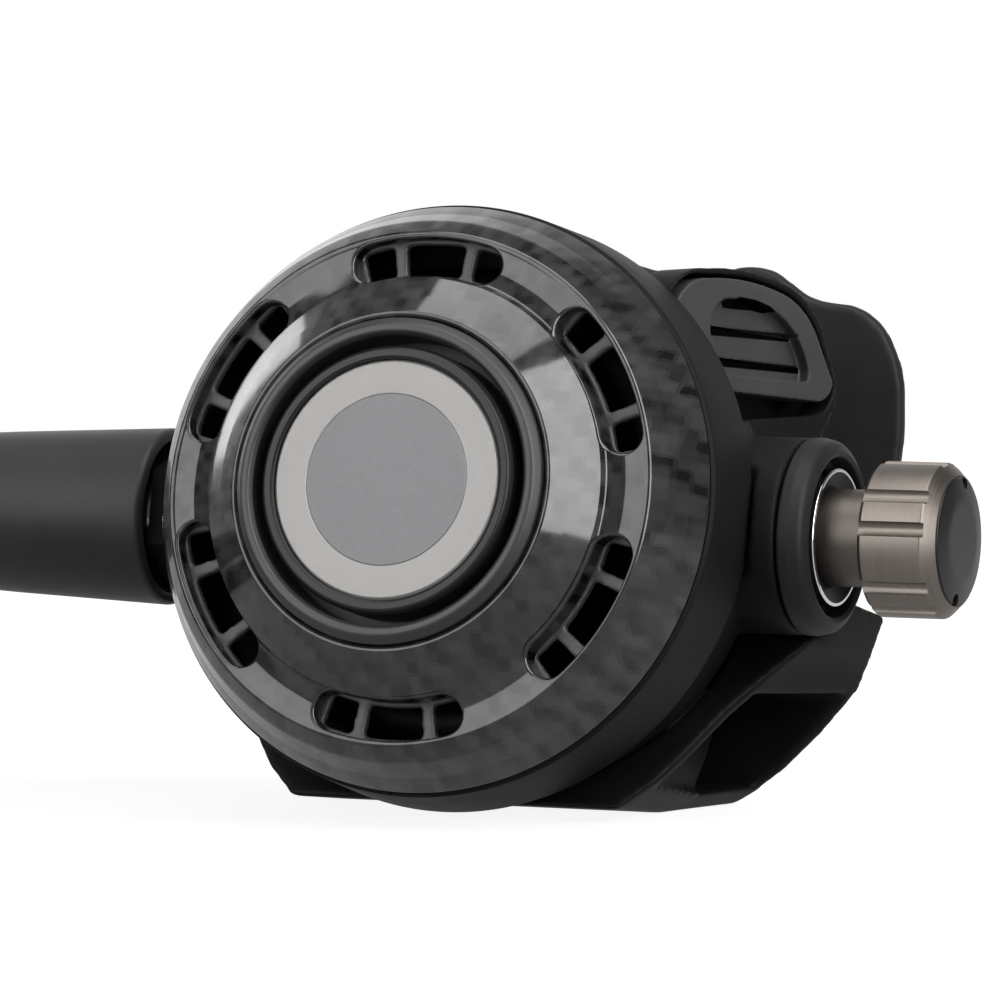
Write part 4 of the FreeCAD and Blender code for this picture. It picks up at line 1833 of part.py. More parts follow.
def make_hose_lead():
    """Lead the hose out level, down a slope and level again, with two equal bends."""
    start, first, second, last = hose_route()
    drop = d.axis_height - d.coil_top
    slope = root(d.hose_slope_level * d.hose_slope_level + drop * drop)
    along = d.bend_share * d.hose_slope_level / slope
    down = d.bend_share * drop / slope
    radius = d.bend_share * (slope + d.hose_slope_level) / drop
    print("lead bend radius %.1f mm" % radius.value)
    marks = [
        start,
        (first[0] + d.bend_share, first[1]),
        (first[0] - along, first[1] - down),
        (second[0] + along, second[1] + down),
        (second[0] - d.bend_share, second[1]),
        last,
    ]
    points = [FreeCAD.Vector(x.value, z.value, 0) for x, z in marks]
    body = level_body("hose_lead", 0)
    route = new_sketch(body, "hose_route", "XZ_Plane")
    route.addGeometry([
        Part.LineSegment(points[0], points[1]),
        arc_between(points[1], points[2], radius.value),
        Part.LineSegment(points[2], points[3]),
        arc_between(points[3], points[4], -radius.value),
        Part.LineSegment(points[4], points[5]),
    ], False)
    starts = [1, 1, 1, 2, 1]
    ends = [2, 2, 2, 1, 2]
    rules = []
    values = []
    fix_point(route, rules, values, 0, starts[0], marks[0][0], marks[0][1])
    for item, mark in enumerate(marks[1:]):
        fix_point(route, rules, values, item, ends[item], mark[0], mark[1])
        if item > 0:
            rules.append(Sketcher.Constraint(
                "Coincident", item - 1, ends[item - 1], item, starts[item]))
            values.append(None)
    for bend in (1, 3):
        rules.append(Sketcher.Constraint("Radius", bend, radius.value))
        values.append(radius)
    give_rules(route, rules, values)
    section = new_sketch(body, "hose_section", "YZ_Plane", d.ferrule_left)
    circle_in(section, 0, d.axis_height, d.hose_radius)
    pipe = feature(body, "AdditivePipe", section, "hose")
    pipe.Spine = (route, ["Edge1", "Edge2", "Edge3", "Edge4", "Edge5"])
    keep(body, "hose_lead")


def biarc(start, start_way, end, end_way):
    """Two arcs that leave one point and reach another along the given directions."""
    gap = end - start
    ways = start_way + end_way
    lean = 1 - start_way.dot(end_way)
    reach = gap.dot(ways)
    if lean < 1e-9:
        arm = gap.dot(gap) / (2 * reach)
    else:
        arm = (math.sqrt(reach * reach + 2 * lean * gap.dot(gap)) - reach) / (2 * lean)
    corner = start + start_way * arm
    other = end - end_way * arm
    joint = (corner + other) * 0.5
    return [tangent_arc(start, corner, joint), tangent_arc(joint, other, end)]


def tangent_arc(start, corner, end):
    """An arc between two points whose tangents meet at the corner."""
    middle = (start + end) * 0.5
    height = corner - middle
    half = (end - start).Length / 2
    if height.Length < 1e-6:
        return Part.makeLine(start, end)
    angle = math.atan2(height.Length, half)
    top = middle + height.normalize() * half * math.tan(angle / 2)
    return Part.Arc(start, top, end).toShape()


def coil_point(turns):
    """A point of the coil and its direction after so many turns."""
    angle = 2 * math.pi * (turns + 0.25)
    radius = d.coil_radius.value
    start = hose_route()[3][0].value - d.coil_lead_in.value
    middle = FreeCAD.Vector(start, d.axis_setback.value - radius, 0)
    drop = d.coil_top.value - d.coil_bottom.value
    phase = min(max((turns - 0.5) * 2, 0), 1)
    height = d.coil_top.value - drop * (1 - math.cos(math.pi * phase)) / 2
    fall = -drop * math.pi * math.sin(math.pi * phase) / (2 * math.pi * radius)
    point = middle + FreeCAD.Vector(radius * math.cos(angle), radius * math.sin(angle), height)
    way = FreeCAD.Vector(-math.sin(angle), math.cos(angle), fall if 0.5 < turns < 1 else 0)
    return point, way.normalize()


def make_hose_coil():
    """Wind one and a half turns, the upper layer first, with a free end beside the coil."""
    quarter = 0.25
    steps = [quarter * count for count in range(7)]
    start, way = coil_point(0)
    arcs = [Part.makeLine(start - way * d.coil_lead_in.value, start)]
    for first, second in zip(steps, steps[1:]):
        start, start_way = coil_point(first)
        end, end_way = coil_point(second)
        arcs += biarc(start, start_way, end, end_way)
    end, way = coil_point(steps[-1])
    flat_end = end + way * d.tail_flat.value
    rise = d.tail_height.value - d.coil_bottom.value
    tail = flat_end + way * d.tail_run.value + FreeCAD.Vector(0, 0, rise)
    arcs.append(Part.makeLine(end, flat_end))
    arcs += biarc(flat_end, way, tail, way)
    spine = Part.Wire(arcs)
    start, way = coil_point(0)
    face = start - way * d.coil_lead_in.value
    section = Part.Wire([Part.makeCircle(d.hose_radius.value, face, way)])
    solid = spine.makePipeShell([section], True, False)
    coil = doc.addObject("Part::Feature", "hose_coil")
    coil.Shape = solid
    keep(coil, "hose_coil")
    points = spine.discretize(Distance=2.0)
    least = None
    near = d.coil_radius.value
    for first in range(len(points)):
        for second in range(first + 1, len(points)):
            if (second - first) * 2.0 < near:
                continue
            gap = (points[second] - points[first]).Length - 2 * d.hose_radius.value
            least = gap if least is None else min(least, gap)
    print("hose %.0f mm in the coil and its end, least gap to itself %.2f mm" % (
        spine.Length, least))


def far_body(name):
    """Start a part on the axis of the hose's free end, which points along X."""
    end = hose_route()[3][0] - d.coil_lead_in + d.tail_flat + d.tail_run
    body = doc.addObject("PartDesign::Body", name)
    body.Label = name
    stand(body, 0, d.axis_setback - 2 * d.coil_radius, d.tail_height)
    bind(body, "Placement.Base.x", end)
    return body


def make_far_end():
    """The free end's ferrule, its threaded fitting and the fitting's seal."""
    d.add("far_ferrule_length", 18.0, "ferrule of the free end")
    d.add("far_ferrule_radius", 7.7, "outside of that ferrule")
    d.add("far_neck_length", 5.0, "neck between ferrule and hexagon")
    d.add("far_neck_radius", 5.4, "that neck")
    d.add("far_hex_length", 7.5, "hexagon of the fitting")
    d.add("far_hex_corner", 8.2, "corners of the hexagon")
    d.add("far_thread_radius", 4.76, "three-eighths inch thread of the fitting")
    d.add("far_thread_length", 8.5, "length of that thread")
    d.add("far_seal_groove", 1.8, "groove for the seal behind the thread")
    d.add("far_groove_radius", 3.7, "floor of that groove")
    d.add("far_seal_cord", 0.8, "cord radius of the fitting's seal")
    d.add("far_bore", 2.3, "bore of the fitting")
    ferrule = far_body("far_ferrule")
    sketch = new_sketch(ferrule, "far_ferrule_outline", "XY_Plane")
    outline(sketch, [
        (0, d.far_bore),
        (d.far_ferrule_length, d.far_bore),
        (d.far_ferrule_length, d.far_ferrule_radius - d.edge_break),
        (d.far_ferrule_length - d.edge_break, d.far_ferrule_radius),
        (d.edge_break, d.far_ferrule_radius),
        (0, d.far_ferrule_radius - d.edge_break),
    ])
    revolve(ferrule, sketch, AXIS_OF_BARREL)
    keep(ferrule, "far_ferrule")
    neck_end = d.far_ferrule_length + d.far_neck_length
    hex_end = neck_end + d.far_hex_length
    thread_start = hex_end + d.far_seal_groove
    thread_end = hex_end + d.far_thread_length
    fitting = far_body("far_fitting")
    shank = new_sketch(fitting, "far_fitting_outline", "XY_Plane")
    outline(shank, [
        (d.far_ferrule_length, d.far_bore),
        (thread_end, d.far_bore),
        (thread_end, d.far_thread_radius - d.edge_break),
        (thread_end - d.edge_break, d.far_thread_radius),
        (thread_start, d.far_thread_radius),
        (thread_start, d.far_groove_radius),
        (hex_end, d.far_groove_radius),
        (hex_end, d.far_neck_radius),
        (d.far_ferrule_length, d.far_neck_radius),
    ])
    revolve(fitting, shank, AXIS_OF_BARREL)
    nut = new_sketch(fitting, "far_hexagon_outline", "YZ_Plane", neck_end)
    hexagon(nut, d.far_hex_corner)
    circle_in(nut, 0, 0, d.far_groove_radius)
    pad(fitting, nut, d.far_hex_length)
    keep(fitting, "far_fitting")
    seal = far_body("far_seal")
    ring = new_sketch(seal, "far_seal_section", "XY_Plane")
    circle_in(ring, hex_end + d.far_seal_cord + d.running_fit,
              d.far_groove_radius + d.far_seal_cord + d.running_fit, d.far_seal_cord)
    revolve(seal, ring, AXIS_OF_BARREL)
    keep(seal, "far_seal")


def finish():
    """Recompute, stop on any broken object and write each piece to its own file."""
    doc.recompute()
    for item in doc.Objects:
        if "Invalid" in item.State or "Error" in item.State:
            raise RuntimeError("%s did not recompute: %s" % (item.Name, item.State))
    os.makedirs("parts", exist_ok=True)
    for name, thing in pieces:
        shape = thing.Shape
        if shape.isNull() or not shape.isValid():
            raise RuntimeError("%s has no sound shape" % name)
        shape.exportStep("parts/%s.step" % name)
        box = shape.BoundBox
        print("%-16s solids %d volume %9.2f  x %7.2f %7.2f  y %7.2f %7.2f  z %7.2f %7.2f" % (
            name, len(shape.Solids), shape.Volume,
            box.XMin, box.XMax, box.YMin, box.YMax, box.ZMin, box.ZMax))


common_sizes()
make_badge()
make_purge_button()
make_purge_collar()
make_front_cover()
make_slot_plate()
make_retaining_ring()
make_diaphragm()
make_purge_spring()
flow_sizes()
make_case_body()
make_valve_barrel()
make_end_collar()
make_barrel_nut()
make_inlet()
make_poppet()
make_demand_lever()
make_lever_nut()
make_balance_piston()
make_adjuster()
make_adjuster_knob()
make_swivel()
make_hose_protector()
make_flow_lever()
make_exhaust_valve()
make_exhaust_tee()
make_mouthpiece()
make_mouthpiece_clamp()
hose_sizes()
make_hose_lead()
make_hose_coil()
make_far_end()
finish()
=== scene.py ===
"""Looks of a scuba second stage and its hose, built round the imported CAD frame.

Lengths are in millimetres in the valve frame, whose X runs along the barrel, Y back through
the cover and Z up the cover, unless a name says otherwise. VALVE turns them into row metres.
"""
import math

import bmesh
import bpy
from mathutils import Matrix, Vector


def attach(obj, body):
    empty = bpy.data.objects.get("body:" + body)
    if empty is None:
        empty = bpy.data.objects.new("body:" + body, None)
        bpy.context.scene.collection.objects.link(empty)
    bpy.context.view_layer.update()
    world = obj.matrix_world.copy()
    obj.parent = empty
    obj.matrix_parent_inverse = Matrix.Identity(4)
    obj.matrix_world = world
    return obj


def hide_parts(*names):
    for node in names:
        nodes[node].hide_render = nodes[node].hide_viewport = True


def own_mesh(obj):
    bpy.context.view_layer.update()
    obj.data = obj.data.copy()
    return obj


MM = 0.001
LEAN = math.radians(12.5)
AXIS_SETBACK = -6.9
AXIS_HEIGHT = 36.0
VALVE = (
    Matrix.Translation(Vector((0, AXIS_SETBACK, AXIS_HEIGHT)) * MM)
    @ Matrix.Rotation(-LEAN, 4, "X")
    @ Matrix.Scale(MM, 4)
)

CAMERA_AZIMUTH = math.radians(22.993)
CAMERA_ELEVATION = math.radians(3.945)
CAMERA_ROLL = math.radians(0.137)
CAMERA_DISTANCE = 1159.8
CAMERA_LENS = 324.0
CAMERA_SENSOR = 36.0
IMAGE_PIXELS = 1000
AIM_RIGHT_PIXELS = 2.82
AIM_DOWN_PIXELS = 27.0

LEVER_PLANE_TURN = math.radians(69.6)
LEVER_PLANE_X = 27.0
LEVER_PLANE_Y = -4.0

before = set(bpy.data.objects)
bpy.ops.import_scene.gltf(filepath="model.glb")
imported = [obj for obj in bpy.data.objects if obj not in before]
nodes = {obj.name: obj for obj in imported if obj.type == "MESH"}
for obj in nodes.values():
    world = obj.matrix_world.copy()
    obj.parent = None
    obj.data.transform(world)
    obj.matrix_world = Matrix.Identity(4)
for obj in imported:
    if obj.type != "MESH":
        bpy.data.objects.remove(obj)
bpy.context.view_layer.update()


def link(name, mesh):
    """Put a mesh into the scene as an object of that name."""
    thing = bpy.data.objects.new(name, mesh)
    bpy.context.scene.collection.objects.link(thing)
    return thing


def settle(thing):
    """Make the modifiers of an object part of its mesh."""
    bpy.context.view_layer.update()
    graph = bpy.context.evaluated_depsgraph_get()
    mesh = bpy.data.meshes.new_from_object(thing.evaluated_get(graph))
    thing.modifiers.clear()
    thing.data = mesh
    return thing


def recolour(thing, material, chosen):
    """Give a second material to the faces whose middle, in the valve frame, passes a test."""
    thing.data.materials.append(material)
    back_to_valve = VALVE.inverted()
    for face in thing.data.polygons:
        if chosen(back_to_valve @ face.center):
            face.material_index = 1


def shade(thing, sharp_degrees=32):
    """Smooth shading that keeps edges sharper than the angle."""
    thing.data.shade_smooth()
    thing.data.set_sharp_from_angle(angle=math.radians(sharp_degrees))
    return thing


def dress(thing, body, slot, material, *stands_for):
    """Give a piece its material and its body, and hide the CAD nodes it stands for; the slot is not
    used.
    """
    thing.data.materials.clear()
    thing.data.materials.append(material)
    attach(thing, body)
    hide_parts(*stands_for)
    return thing


def rounded(corners, steps=7):
    """Points of a closed outline whose corners may carry a rounding radius as a third number."""
    points = []
    for place, corner in enumerate(corners):
        here = Vector(corner[:2])
        if len(corner) < 3:
            points.append(here)
            continue
        following = corners[(place + 1) % len(corners)]
        before = (Vector(corners[place - 1][:2]) - here).normalized()
        after = (Vector(following[:2]) - here).normalized()
        half = before.angle(after) / 2
        middle = here + (before + after).normalized() * (corner[2] / math.sin(half))
        start = here + before * (corner[2] / math.tan(half)) - middle
        end = here + after * (corner[2] / math.tan(half)) - middle
        turn = math.atan2(start.x * end.y - start.y * end.x, start.dot(end))
        for step in range(steps + 1):
            angle = turn * step / steps
            points.append(middle + Matrix.Rotation(angle, 2) @ start)
    return points


def around_cover(radius, station, angle):
    """A point at an angle round the cover's axis."""
    return Vector((radius * math.cos(angle), station, radius * math.sin(angle)))


def around_barrel(station, radius, angle):
    """A point at an angle round the barrel's axis."""
    return Vector((station, radius * math.cos(angle), radius * math.sin(angle)))


def lathe(name, corners, place_point, segments=192, steps=7):
    """Turn a closed outline round the cover's or the barrel's axis.

    The first segment is set off, so that no segment's edge lies along an edge that is cut later.
    """
    set_off = 0.37
    merge_within = 1e-7
    shortest_edge = 1e-8
    outline = rounded(corners, steps)
    mesh = bmesh.new()
    rings = []
    for segment in range(segments):
        angle = 2 * math.pi * (segment + set_off) / segments
        rings.append([
            mesh.verts.new(VALVE @ place_point(point.x, point.y, angle)) for point in outline])
    for segment in range(segments):
        near = rings[segment]
        far = rings[(segment + 1) % segments]
        for place in range(len(outline)):
            other = (place + 1) % len(outline)
            mesh.faces.new((near[place], near[other], far[other], far[place]))
    bmesh.ops.remove_doubles(mesh, verts=mesh.verts, dist=merge_within)
    bmesh.ops.dissolve_degenerate(mesh, edges=mesh.edges, dist=shortest_edge)
    bmesh.ops.recalc_face_normals(mesh, faces=mesh.faces)
    data = bpy.data.meshes.new(name)
    mesh.to_mesh(data)
    mesh.free()
    return shade(link(name, data))


def stack(name, rings, transform=VALVE):
    """A closed body from rings of equally many points, with flat ends."""
    mesh = bmesh.new()
    made = [[mesh.verts.new(transform @ point) for point in ring] for ring in rings]
    for lower, upper in zip(made, made[1:]):
        for place in range(len(lower)):
            other = (place + 1) % len(lower)
            mesh.faces.new((lower[place], lower[other], upper[other], upper[place]))
    mesh.faces.new(made[0])
    mesh.faces.new(list(reversed(made[-1])))
    bmesh.ops.recalc_face_normals(mesh, faces=mesh.faces)
    data = bpy.data.meshes.new(name)
    mesh.to_mesh(data)
    mesh.free()
    return link(name, data)


def cut(thing, *cutters):
    """Take the cutters out of a piece and delete them."""
    for cutter in cutters:
        modifier = thing.modifiers.new("cut", "BOOLEAN")
        modifier.operation = "DIFFERENCE"
        modifier.solver = "EXACT"
        modifier.object = cutter
    settle(thing)
    for cutter in cutters:
        bpy.data.objects.remove(cutter)
    return shade(thing)


def moulded(node, name, voxel, rounds):
    """A soft-edged copy of a CAD node, as from a mould."""
    pull = 0.5
    thing = link(name, nodes[node].data.copy())
    remesh = thing.modifiers.new("remesh", "REMESH")
    remesh.mode = "VOXEL"
    remesh.voxel_size = voxel * MM
    smooth = thing.modifiers.new("smooth", "SMOOTH")
    smooth.factor = pull
    smooth.iterations = rounds
    settle(thing)
    thing.data.shade_smooth()
    return thing


def polished(node, name, width):
    """A copy of a CAD node with small bevels along its sharp edges."""
    merge_within = 2e-6
    flat_degrees = 1
    sharp_degrees = 40
    mesh = bmesh.new()
    mesh.from_mesh(nodes[node].data)
    bmesh.ops.remove_doubles(mesh, verts=mesh.verts, dist=merge_within)
    bmesh.ops.dissolve_limit(
        mesh, angle_limit=math.radians(flat_degrees), verts=mesh.verts, edges=mesh.edges)
    data = bpy.data.meshes.new(name)
    mesh.to_mesh(data)
    mesh.free()
    thing = link(name, data)
    bevel = thing.modifiers.new("bevel", "BEVEL")
    bevel.width = width * MM
    bevel.segments = 2
    bevel.angle_limit = math.radians(sharp_degrees)
    settle(thing)
    return shade(thing, sharp_degrees)


class Shader:
    """A material with one Principled shader and short ways to add nodes to it."""

    def __init__(self, name, colour, roughness, metallic=0.0, **sockets):
        self.material = bpy.data.materials.new(name)
        self.material.use_nodes = True
        self.tree = self.material.node_tree
        self.surface = self.tree.nodes["Principled BSDF"]
        self.put("Base Color", (*colour, 1))
        self.put("Roughness", roughness)
        self.put("Metallic", metallic)
        for socket, value in sockets.items():
            self.put(socket.replace("_", " "), value)

    def put(self, socket, value):
        self.surface.inputs[socket].default_value = value

    def node(self, kind, **values):
        made = self.tree.nodes.new(kind)
        for name, value in values.items():
            if hasattr(made, name):
                setattr(made, name, value)
            else:
                made.inputs[name.replace("_", " ")].default_value = value
        return made

    def join(self, source, target):
        self.tree.links.new(source, target)

    def math(self, operation, first, second=None):
        made = self.tree.nodes.new("ShaderNodeMath")
        made.operation = operation
        for place, value in enumerate((first, second)):
            if value is None:
                continue
            if isinstance(value, (int, float)):
                made.inputs[place].default_value = value
            else:
                self.join(value, made.inputs[place])
        return made.outputs[0]

    def place(self, scale=(1, 1, 1)):
        """Valve frame coordinates in millimetres, scaled."""
        where = self.node("ShaderNodeTexCoord")
        back = self.node("ShaderNodeVectorRotate", rotation_type="X_AXIS")
        back.inputs["Angle"].default_value = LEAN
        back.inputs["Center"].default_value = (0, AXIS_SETBACK * MM, AXIS_HEIGHT * MM)
        self.join(where.outputs["Object"], back.inputs["Vector"])
        mapping = self.node("ShaderNodeMapping")
        mapping.inputs["Location"].default_value = (
            0, -AXIS_SETBACK * scale[1], -AXIS_HEIGHT * scale[2])
        mapping.inputs["Scale"].default_value = [side / MM for side in scale]
        self.join(back.outputs[0], mapping.inputs["Vector"])
        return mapping.outputs[0]

    def noise(self, vector, size, detail=4.0, rough=0.6):
        made = self.node("ShaderNodeTexNoise")
        made.inputs["Scale"].default_value = 1 / size
        made.inputs["Detail"].default_value = detail
        made.inputs["Roughness"].default_value = rough
        self.join(vector, made.inputs["Vector"])
        return made.outputs[0]

    def spread(self, value, low, high, start=0.0, end=1.0):
        made = self.node("ShaderNodeMapRange")
        made.inputs["From Min"].default_value = low
        made.inputs["From Max"].default_value = high
        made.inputs["To Min"].default_value = start
        made.inputs["To Max"].default_value = end
        self.join(value, made.inputs["Value"])
        return made.outputs[0]

    def colours(self, share, first, second):
        made = self.node("ShaderNodeMix", data_type="RGBA")
        made.inputs[6].default_value = (*first, 1)
        made.inputs[7].default_value = (*second, 1)
        self.join(share, made.inputs[0])
        self.join(made.outputs[2], self.surface.inputs["Base Color"])

    def roughen(self, share, smooth, rough):
        self.join(self.spread(share, 0, 1, smooth, rough), self.surface.inputs["Roughness"])

    def bump(self, height, depth):
        made = self.node("ShaderNodeBump")
        made.inputs["Strength"].default_value = 1.0
        made.inputs["Distance"].default_value = depth * MM
        self.join(height, made.inputs["Height"])
        self.join(made.outputs[0], self.surface.inputs["Normal"])


def grained(name, colour, second, roughness, grain, depth, **sockets):
    """A moulded plastic or rubber with a grain of that size and depth and faint cloudy wear."""
    cloud_size = 14.0
    cloud_share = 0.7
    smoother = 0.05
    rougher = 0.07
    shader = Shader(name, colour, roughness, **sockets)
    where = shader.place()
    fine = shader.noise(where, grain, 3.0, 0.7)
    cloud = shader.noise(where, cloud_size, 3.0, 0.55)
    both = shader.math("ADD", shader.math("MULTIPLY", cloud, cloud_share),
                       shader.math("MULTIPLY", fine, 1 - cloud_share))
    share = shader.spread(both, 0.35, 0.65)
    shader.colours(share, colour, second)
    shader.roughen(share, roughness - smoother, roughness + rougher)
    shader.bump(fine, depth)
    return shader.material


def carbon_weave():
    """Clear-coated twill: flat tows, each passing over two and under two.

    Each crossing of two tows has its own shade. The grid is bent a little by noise, and the
    average of four grids set slightly apart softens the edges between crossings.
    """
    tow = 1.4
    bend_size = 0.9
    bend_by = 0.42
    soft_edge = 0.14
    twill_repeat = 4
    twill_over = 2
    over_share = 0.3
    cloud_size = 5.0
    cloud_share = 0.5
    darkest = 0.42
    lightest = 1.18
    shader = Shader("carbon_weave", (0.03, 0.03, 0.032), 0.4, Coat_Weight=1.0,
                    Coat_Roughness=0.09, Specular_IOR_Level=0.1)
    where = shader.place((1 / tow, 1 / tow, 1 / tow))
    waver = shader.node("ShaderNodeTexNoise")
    waver.inputs["Scale"].default_value = bend_size
    waver.inputs["Detail"].default_value = 1.0
    shader.join(where, waver.inputs["Vector"])
    bend = shader.node("ShaderNodeVectorMath", operation="SCALE")
    bend.inputs["Scale"].default_value = bend_by
    shader.join(waver.outputs["Color"], bend.inputs[0])
    bent = shader.node("ShaderNodeVectorMath", operation="ADD")
    shader.join(where, bent.inputs[0])
    shader.join(bend.outputs[0], bent.inputs[1])
    shades = None
    corners = ((-1, -1), (-1, 1), (1, -1), (1, 1))
    for aside, up in corners:
        moved = shader.node("ShaderNodeVectorMath", operation="ADD")
        moved.inputs[1].default_value = (aside * soft_edge, 0, up * soft_edge)
        shader.join(bent.outputs[0], moved.inputs[0])
        parts = shader.node("ShaderNodeSeparateXYZ")
        shader.join(moved.outputs[0], parts.inputs[0])
        column = shader.math("FLOOR", parts.outputs[0])
        row = shader.math("FLOOR", parts.outputs[2])
        cell = shader.node("ShaderNodeCombineXYZ")
        shader.join(column, cell.inputs[0])
        shader.join(row, cell.inputs[1])
        chance = shader.node("ShaderNodeTexWhiteNoise")
        shader.join(cell.outputs[0], chance.inputs["Vector"])
        step = shader.math("FLOORED_MODULO", shader.math("ADD", column, row), twill_repeat)
        over = shader.math("LESS_THAN", step, twill_over)
        own_shade = shader.math("MULTIPLY", chance.outputs[0], 1 - over_share)
        shade_here = shader.math("ADD", own_shade, shader.math("MULTIPLY", over, over_share))
        shades = shade_here if shades is None else shader.math("ADD", shades, shade_here)
    cloud = shader.math("MULTIPLY", shader.noise(where, cloud_size, 2.0), cloud_share)
    light = shader.math("ADD", shader.math("MULTIPLY", shades, 1 / len(corners)), cloud)
    share = shader.spread(light, darkest, lightest)
    shader.colours(share, (0.002, 0.002, 0.0017), (0.068, 0.068, 0.066))
    shader.roughen(share, 0.5, 0.36)
    return shader.material


def brushed(name, colour, second, roughness):
    """Turned metal with fine tool marks round the barrel's axis."""
    mark_scale = (9, 0.12, 0.12)
    smoother = 0.04
    rougher = 0.08
    mark_depth = 0.0015
    shader = Shader(name, colour, roughness, 1.0)
    where = shader.place(mark_scale)
    marks = shader.noise(where, 1.0, 3.0, 0.7)
    share = shader.spread(marks, 0.35, 0.65)
    shader.colours(share, colour, second)
    shader.roughen(share, roughness - smoother, roughness + rougher)
    shader.bump(marks, mark_depth)
    return shader.material


def plain_metal(name, colour, roughness, metallic=1.0):
    """Even metal or metal paint, a little uneven in its gloss."""
    patch_size = 0.35
    smoother = 0.85
    rougher = 1.2
    shader = Shader(name, colour, roughness, metallic)
    patches = shader.spread(shader.noise(shader.place(), patch_size), 0.3, 0.7)
    shader.roughen(patches, roughness * smoother, roughness * rougher)
    return shader.material


CARBON = carbon_weave()
SATIN = grained("satin_black_plastic", (0.010, 0.010, 0.011), (0.016, 0.016, 0.017),
                0.34, 0.25, 0.003, Specular_IOR_Level=0.28)
CASE = grained("fine_grained_case", (0.010, 0.010, 0.0103), (0.0150, 0.0150, 0.0153),
               0.5, 0.22, 0.012, Specular_IOR_Level=0.08)
LEVER = grained("grained_lever", (0.062, 0.062, 0.065), (0.082, 0.082, 0.086),
                0.5, 0.3, 0.014, Specular_IOR_Level=0.3)
# Painted shade: a near-black for faces that lie in shade, in the lever's cut gaps and on the barrel
# nut inside the sleeve.
SHADE_BLACK = grained("painted_shade_black", (0.002, 0.002, 0.002), (0.003, 0.003, 0.003),
              0.6, 0.3, 0.002, Specular_IOR_Level=0.05)
# Painted light: the lever's grey at about 1.6 times its lightness, for webs that are lit brightly
# from the front.
LIT_WEB_GREY = grained("grey_web_plastic_painted_light", (0.10, 0.10, 0.102), (0.13, 0.13, 0.132), 0.5, 0.3, 0.008)
RUBBER = grained("black_silicone", (0.007, 0.007, 0.0072), (0.0115, 0.0115, 0.0118),
                 0.48, 0.5, 0.006, Specular_IOR_Level=0.1)
MOUTH = grained("mouthpiece_silicone", (0.018, 0.018, 0.0182), (0.027, 0.027, 0.0273),
                0.5, 0.5, 0.006, Specular_IOR_Level=0.2)
SLEEVE = grained("grey_rubber_sleeve", (0.043, 0.043, 0.0435), (0.060, 0.060, 0.061),
                 0.45, 0.3, 0.012, Specular_IOR_Level=0.25)
COLLAR = grained("matte_collar_rubber", (0.020, 0.020, 0.021), (0.03, 0.03, 0.031),
                 0.42, 0.25, 0.004, Specular_IOR_Level=0.5)
SOFT = grained("soft_end_rubber", (0.014, 0.014, 0.0145), (0.021, 0.021, 0.0215),
               0.5, 0.25, 0.004, Specular_IOR_Level=0.2)
HOSE = grained("hose_rubber", (0.018, 0.018, 0.018), (0.028, 0.028, 0.028), 0.45, 0.8, 0.008)
SILICONE = grained("pale_silicone", (0.46, 0.46, 0.43), (0.55, 0.55, 0.52), 0.4, 0.8, 0.004)
WHITE = grained("white_plastic", (0.68, 0.68, 0.65), (0.75, 0.75, 0.72), 0.4, 0.6, 0.003)
SEAL = grained("seal_rubber", (0.007, 0.007, 0.007), (0.011, 0.011, 0.011),
               0.4, 0.4, 0.002, Specular_IOR_Level=0.15)
CHROME = plain_metal("polished_chrome", (0.78, 0.78, 0.79), 0.1)
STEEL = plain_metal("satin_steel", (0.6, 0.6, 0.6), 0.3)
BRASS = plain_metal("plain_brass", (0.72, 0.55, 0.27), 0.28)
KNOB = brushed("turned_knob_metal", (0.155, 0.136, 0.120), (0.185, 0.165, 0.148), 0.40)
# Painted shade: the knob's metal darkened to about six tenths, so the stem's neck reads as in
# shade.
SHADED_KNOB_METAL = brushed("turned_knob_metal_painted_shade", (0.095, 0.084, 0.075), (0.12, 0.106, 0.096), 0.42)
BADGE = plain_metal("badge_ring_metal", (0.47, 0.457, 0.445), 0.6, 0.25)
BADGE_FIELD = plain_metal("badge_field_metal", (0.265, 0.263, 0.273), 0.6, 0.25)


def band_height(radius):
    """Station of the cover's slotted band at a radius."""
    heights = ((24.0, -34.4), (27.0, -32.2), (29.6, -31.5), (32.4, -31.3), (36.0, -31.3))
    for (inner, low), (outer, high) in zip(heights, heights[1:]):
        if radius <= outer:
            return low + (high - low) * (radius - inner) / (outer - inner)
    return heights[-1][1]


def slot_ring(grown, depth):
    """The outline of a slot, grown outward, at a depth below the band's surface."""
    slot_radius = 29.55
    wide = 2.45 + grown
    half_angle = math.radians(15.0)
    side_points = 30
    end_points = 14
    points = []
    for side in (1, -1):
        for step in range(side_points):
            angle = side * half_angle * (2 * step / side_points - 1)
            points.append(around_cover(slot_radius + side * wide, 0, angle))
        outward = around_cover(1, 0, side * half_angle)
        onward = around_cover(1, 0, side * half_angle + math.pi / 2)
        for step in range(end_points):
            turn = math.pi * step / end_points
            points.append(outward * (slot_radius + side * wide * math.cos(turn))
                          + onward * (side * wide * math.sin(turn)))
    for point in points:
        point.y = band_height(math.hypot(point.x, point.z)) + depth
    return points


def slot_cutter(middle_angle):
    """One slot of the cover, rounded where it meets the band's surface."""
    fillet = 0.45
    steps = 5
    above = -6.0
    overlap = -0.02
    below = 3.6
    rings = [slot_ring(fillet, above), slot_ring(fillet, overlap)]
    for step in range(steps + 1):
        angle = math.pi / 2 * step / steps
        rings.append(slot_ring(fillet * (1 - math.sin(angle)), fillet * (1 - math.cos(angle))))
    rings.append(slot_ring(0.0, below))
    turn = Matrix.Rotation(-middle_angle, 4, "Y")
    return stack("slot_cutter", rings, VALVE @ turn)


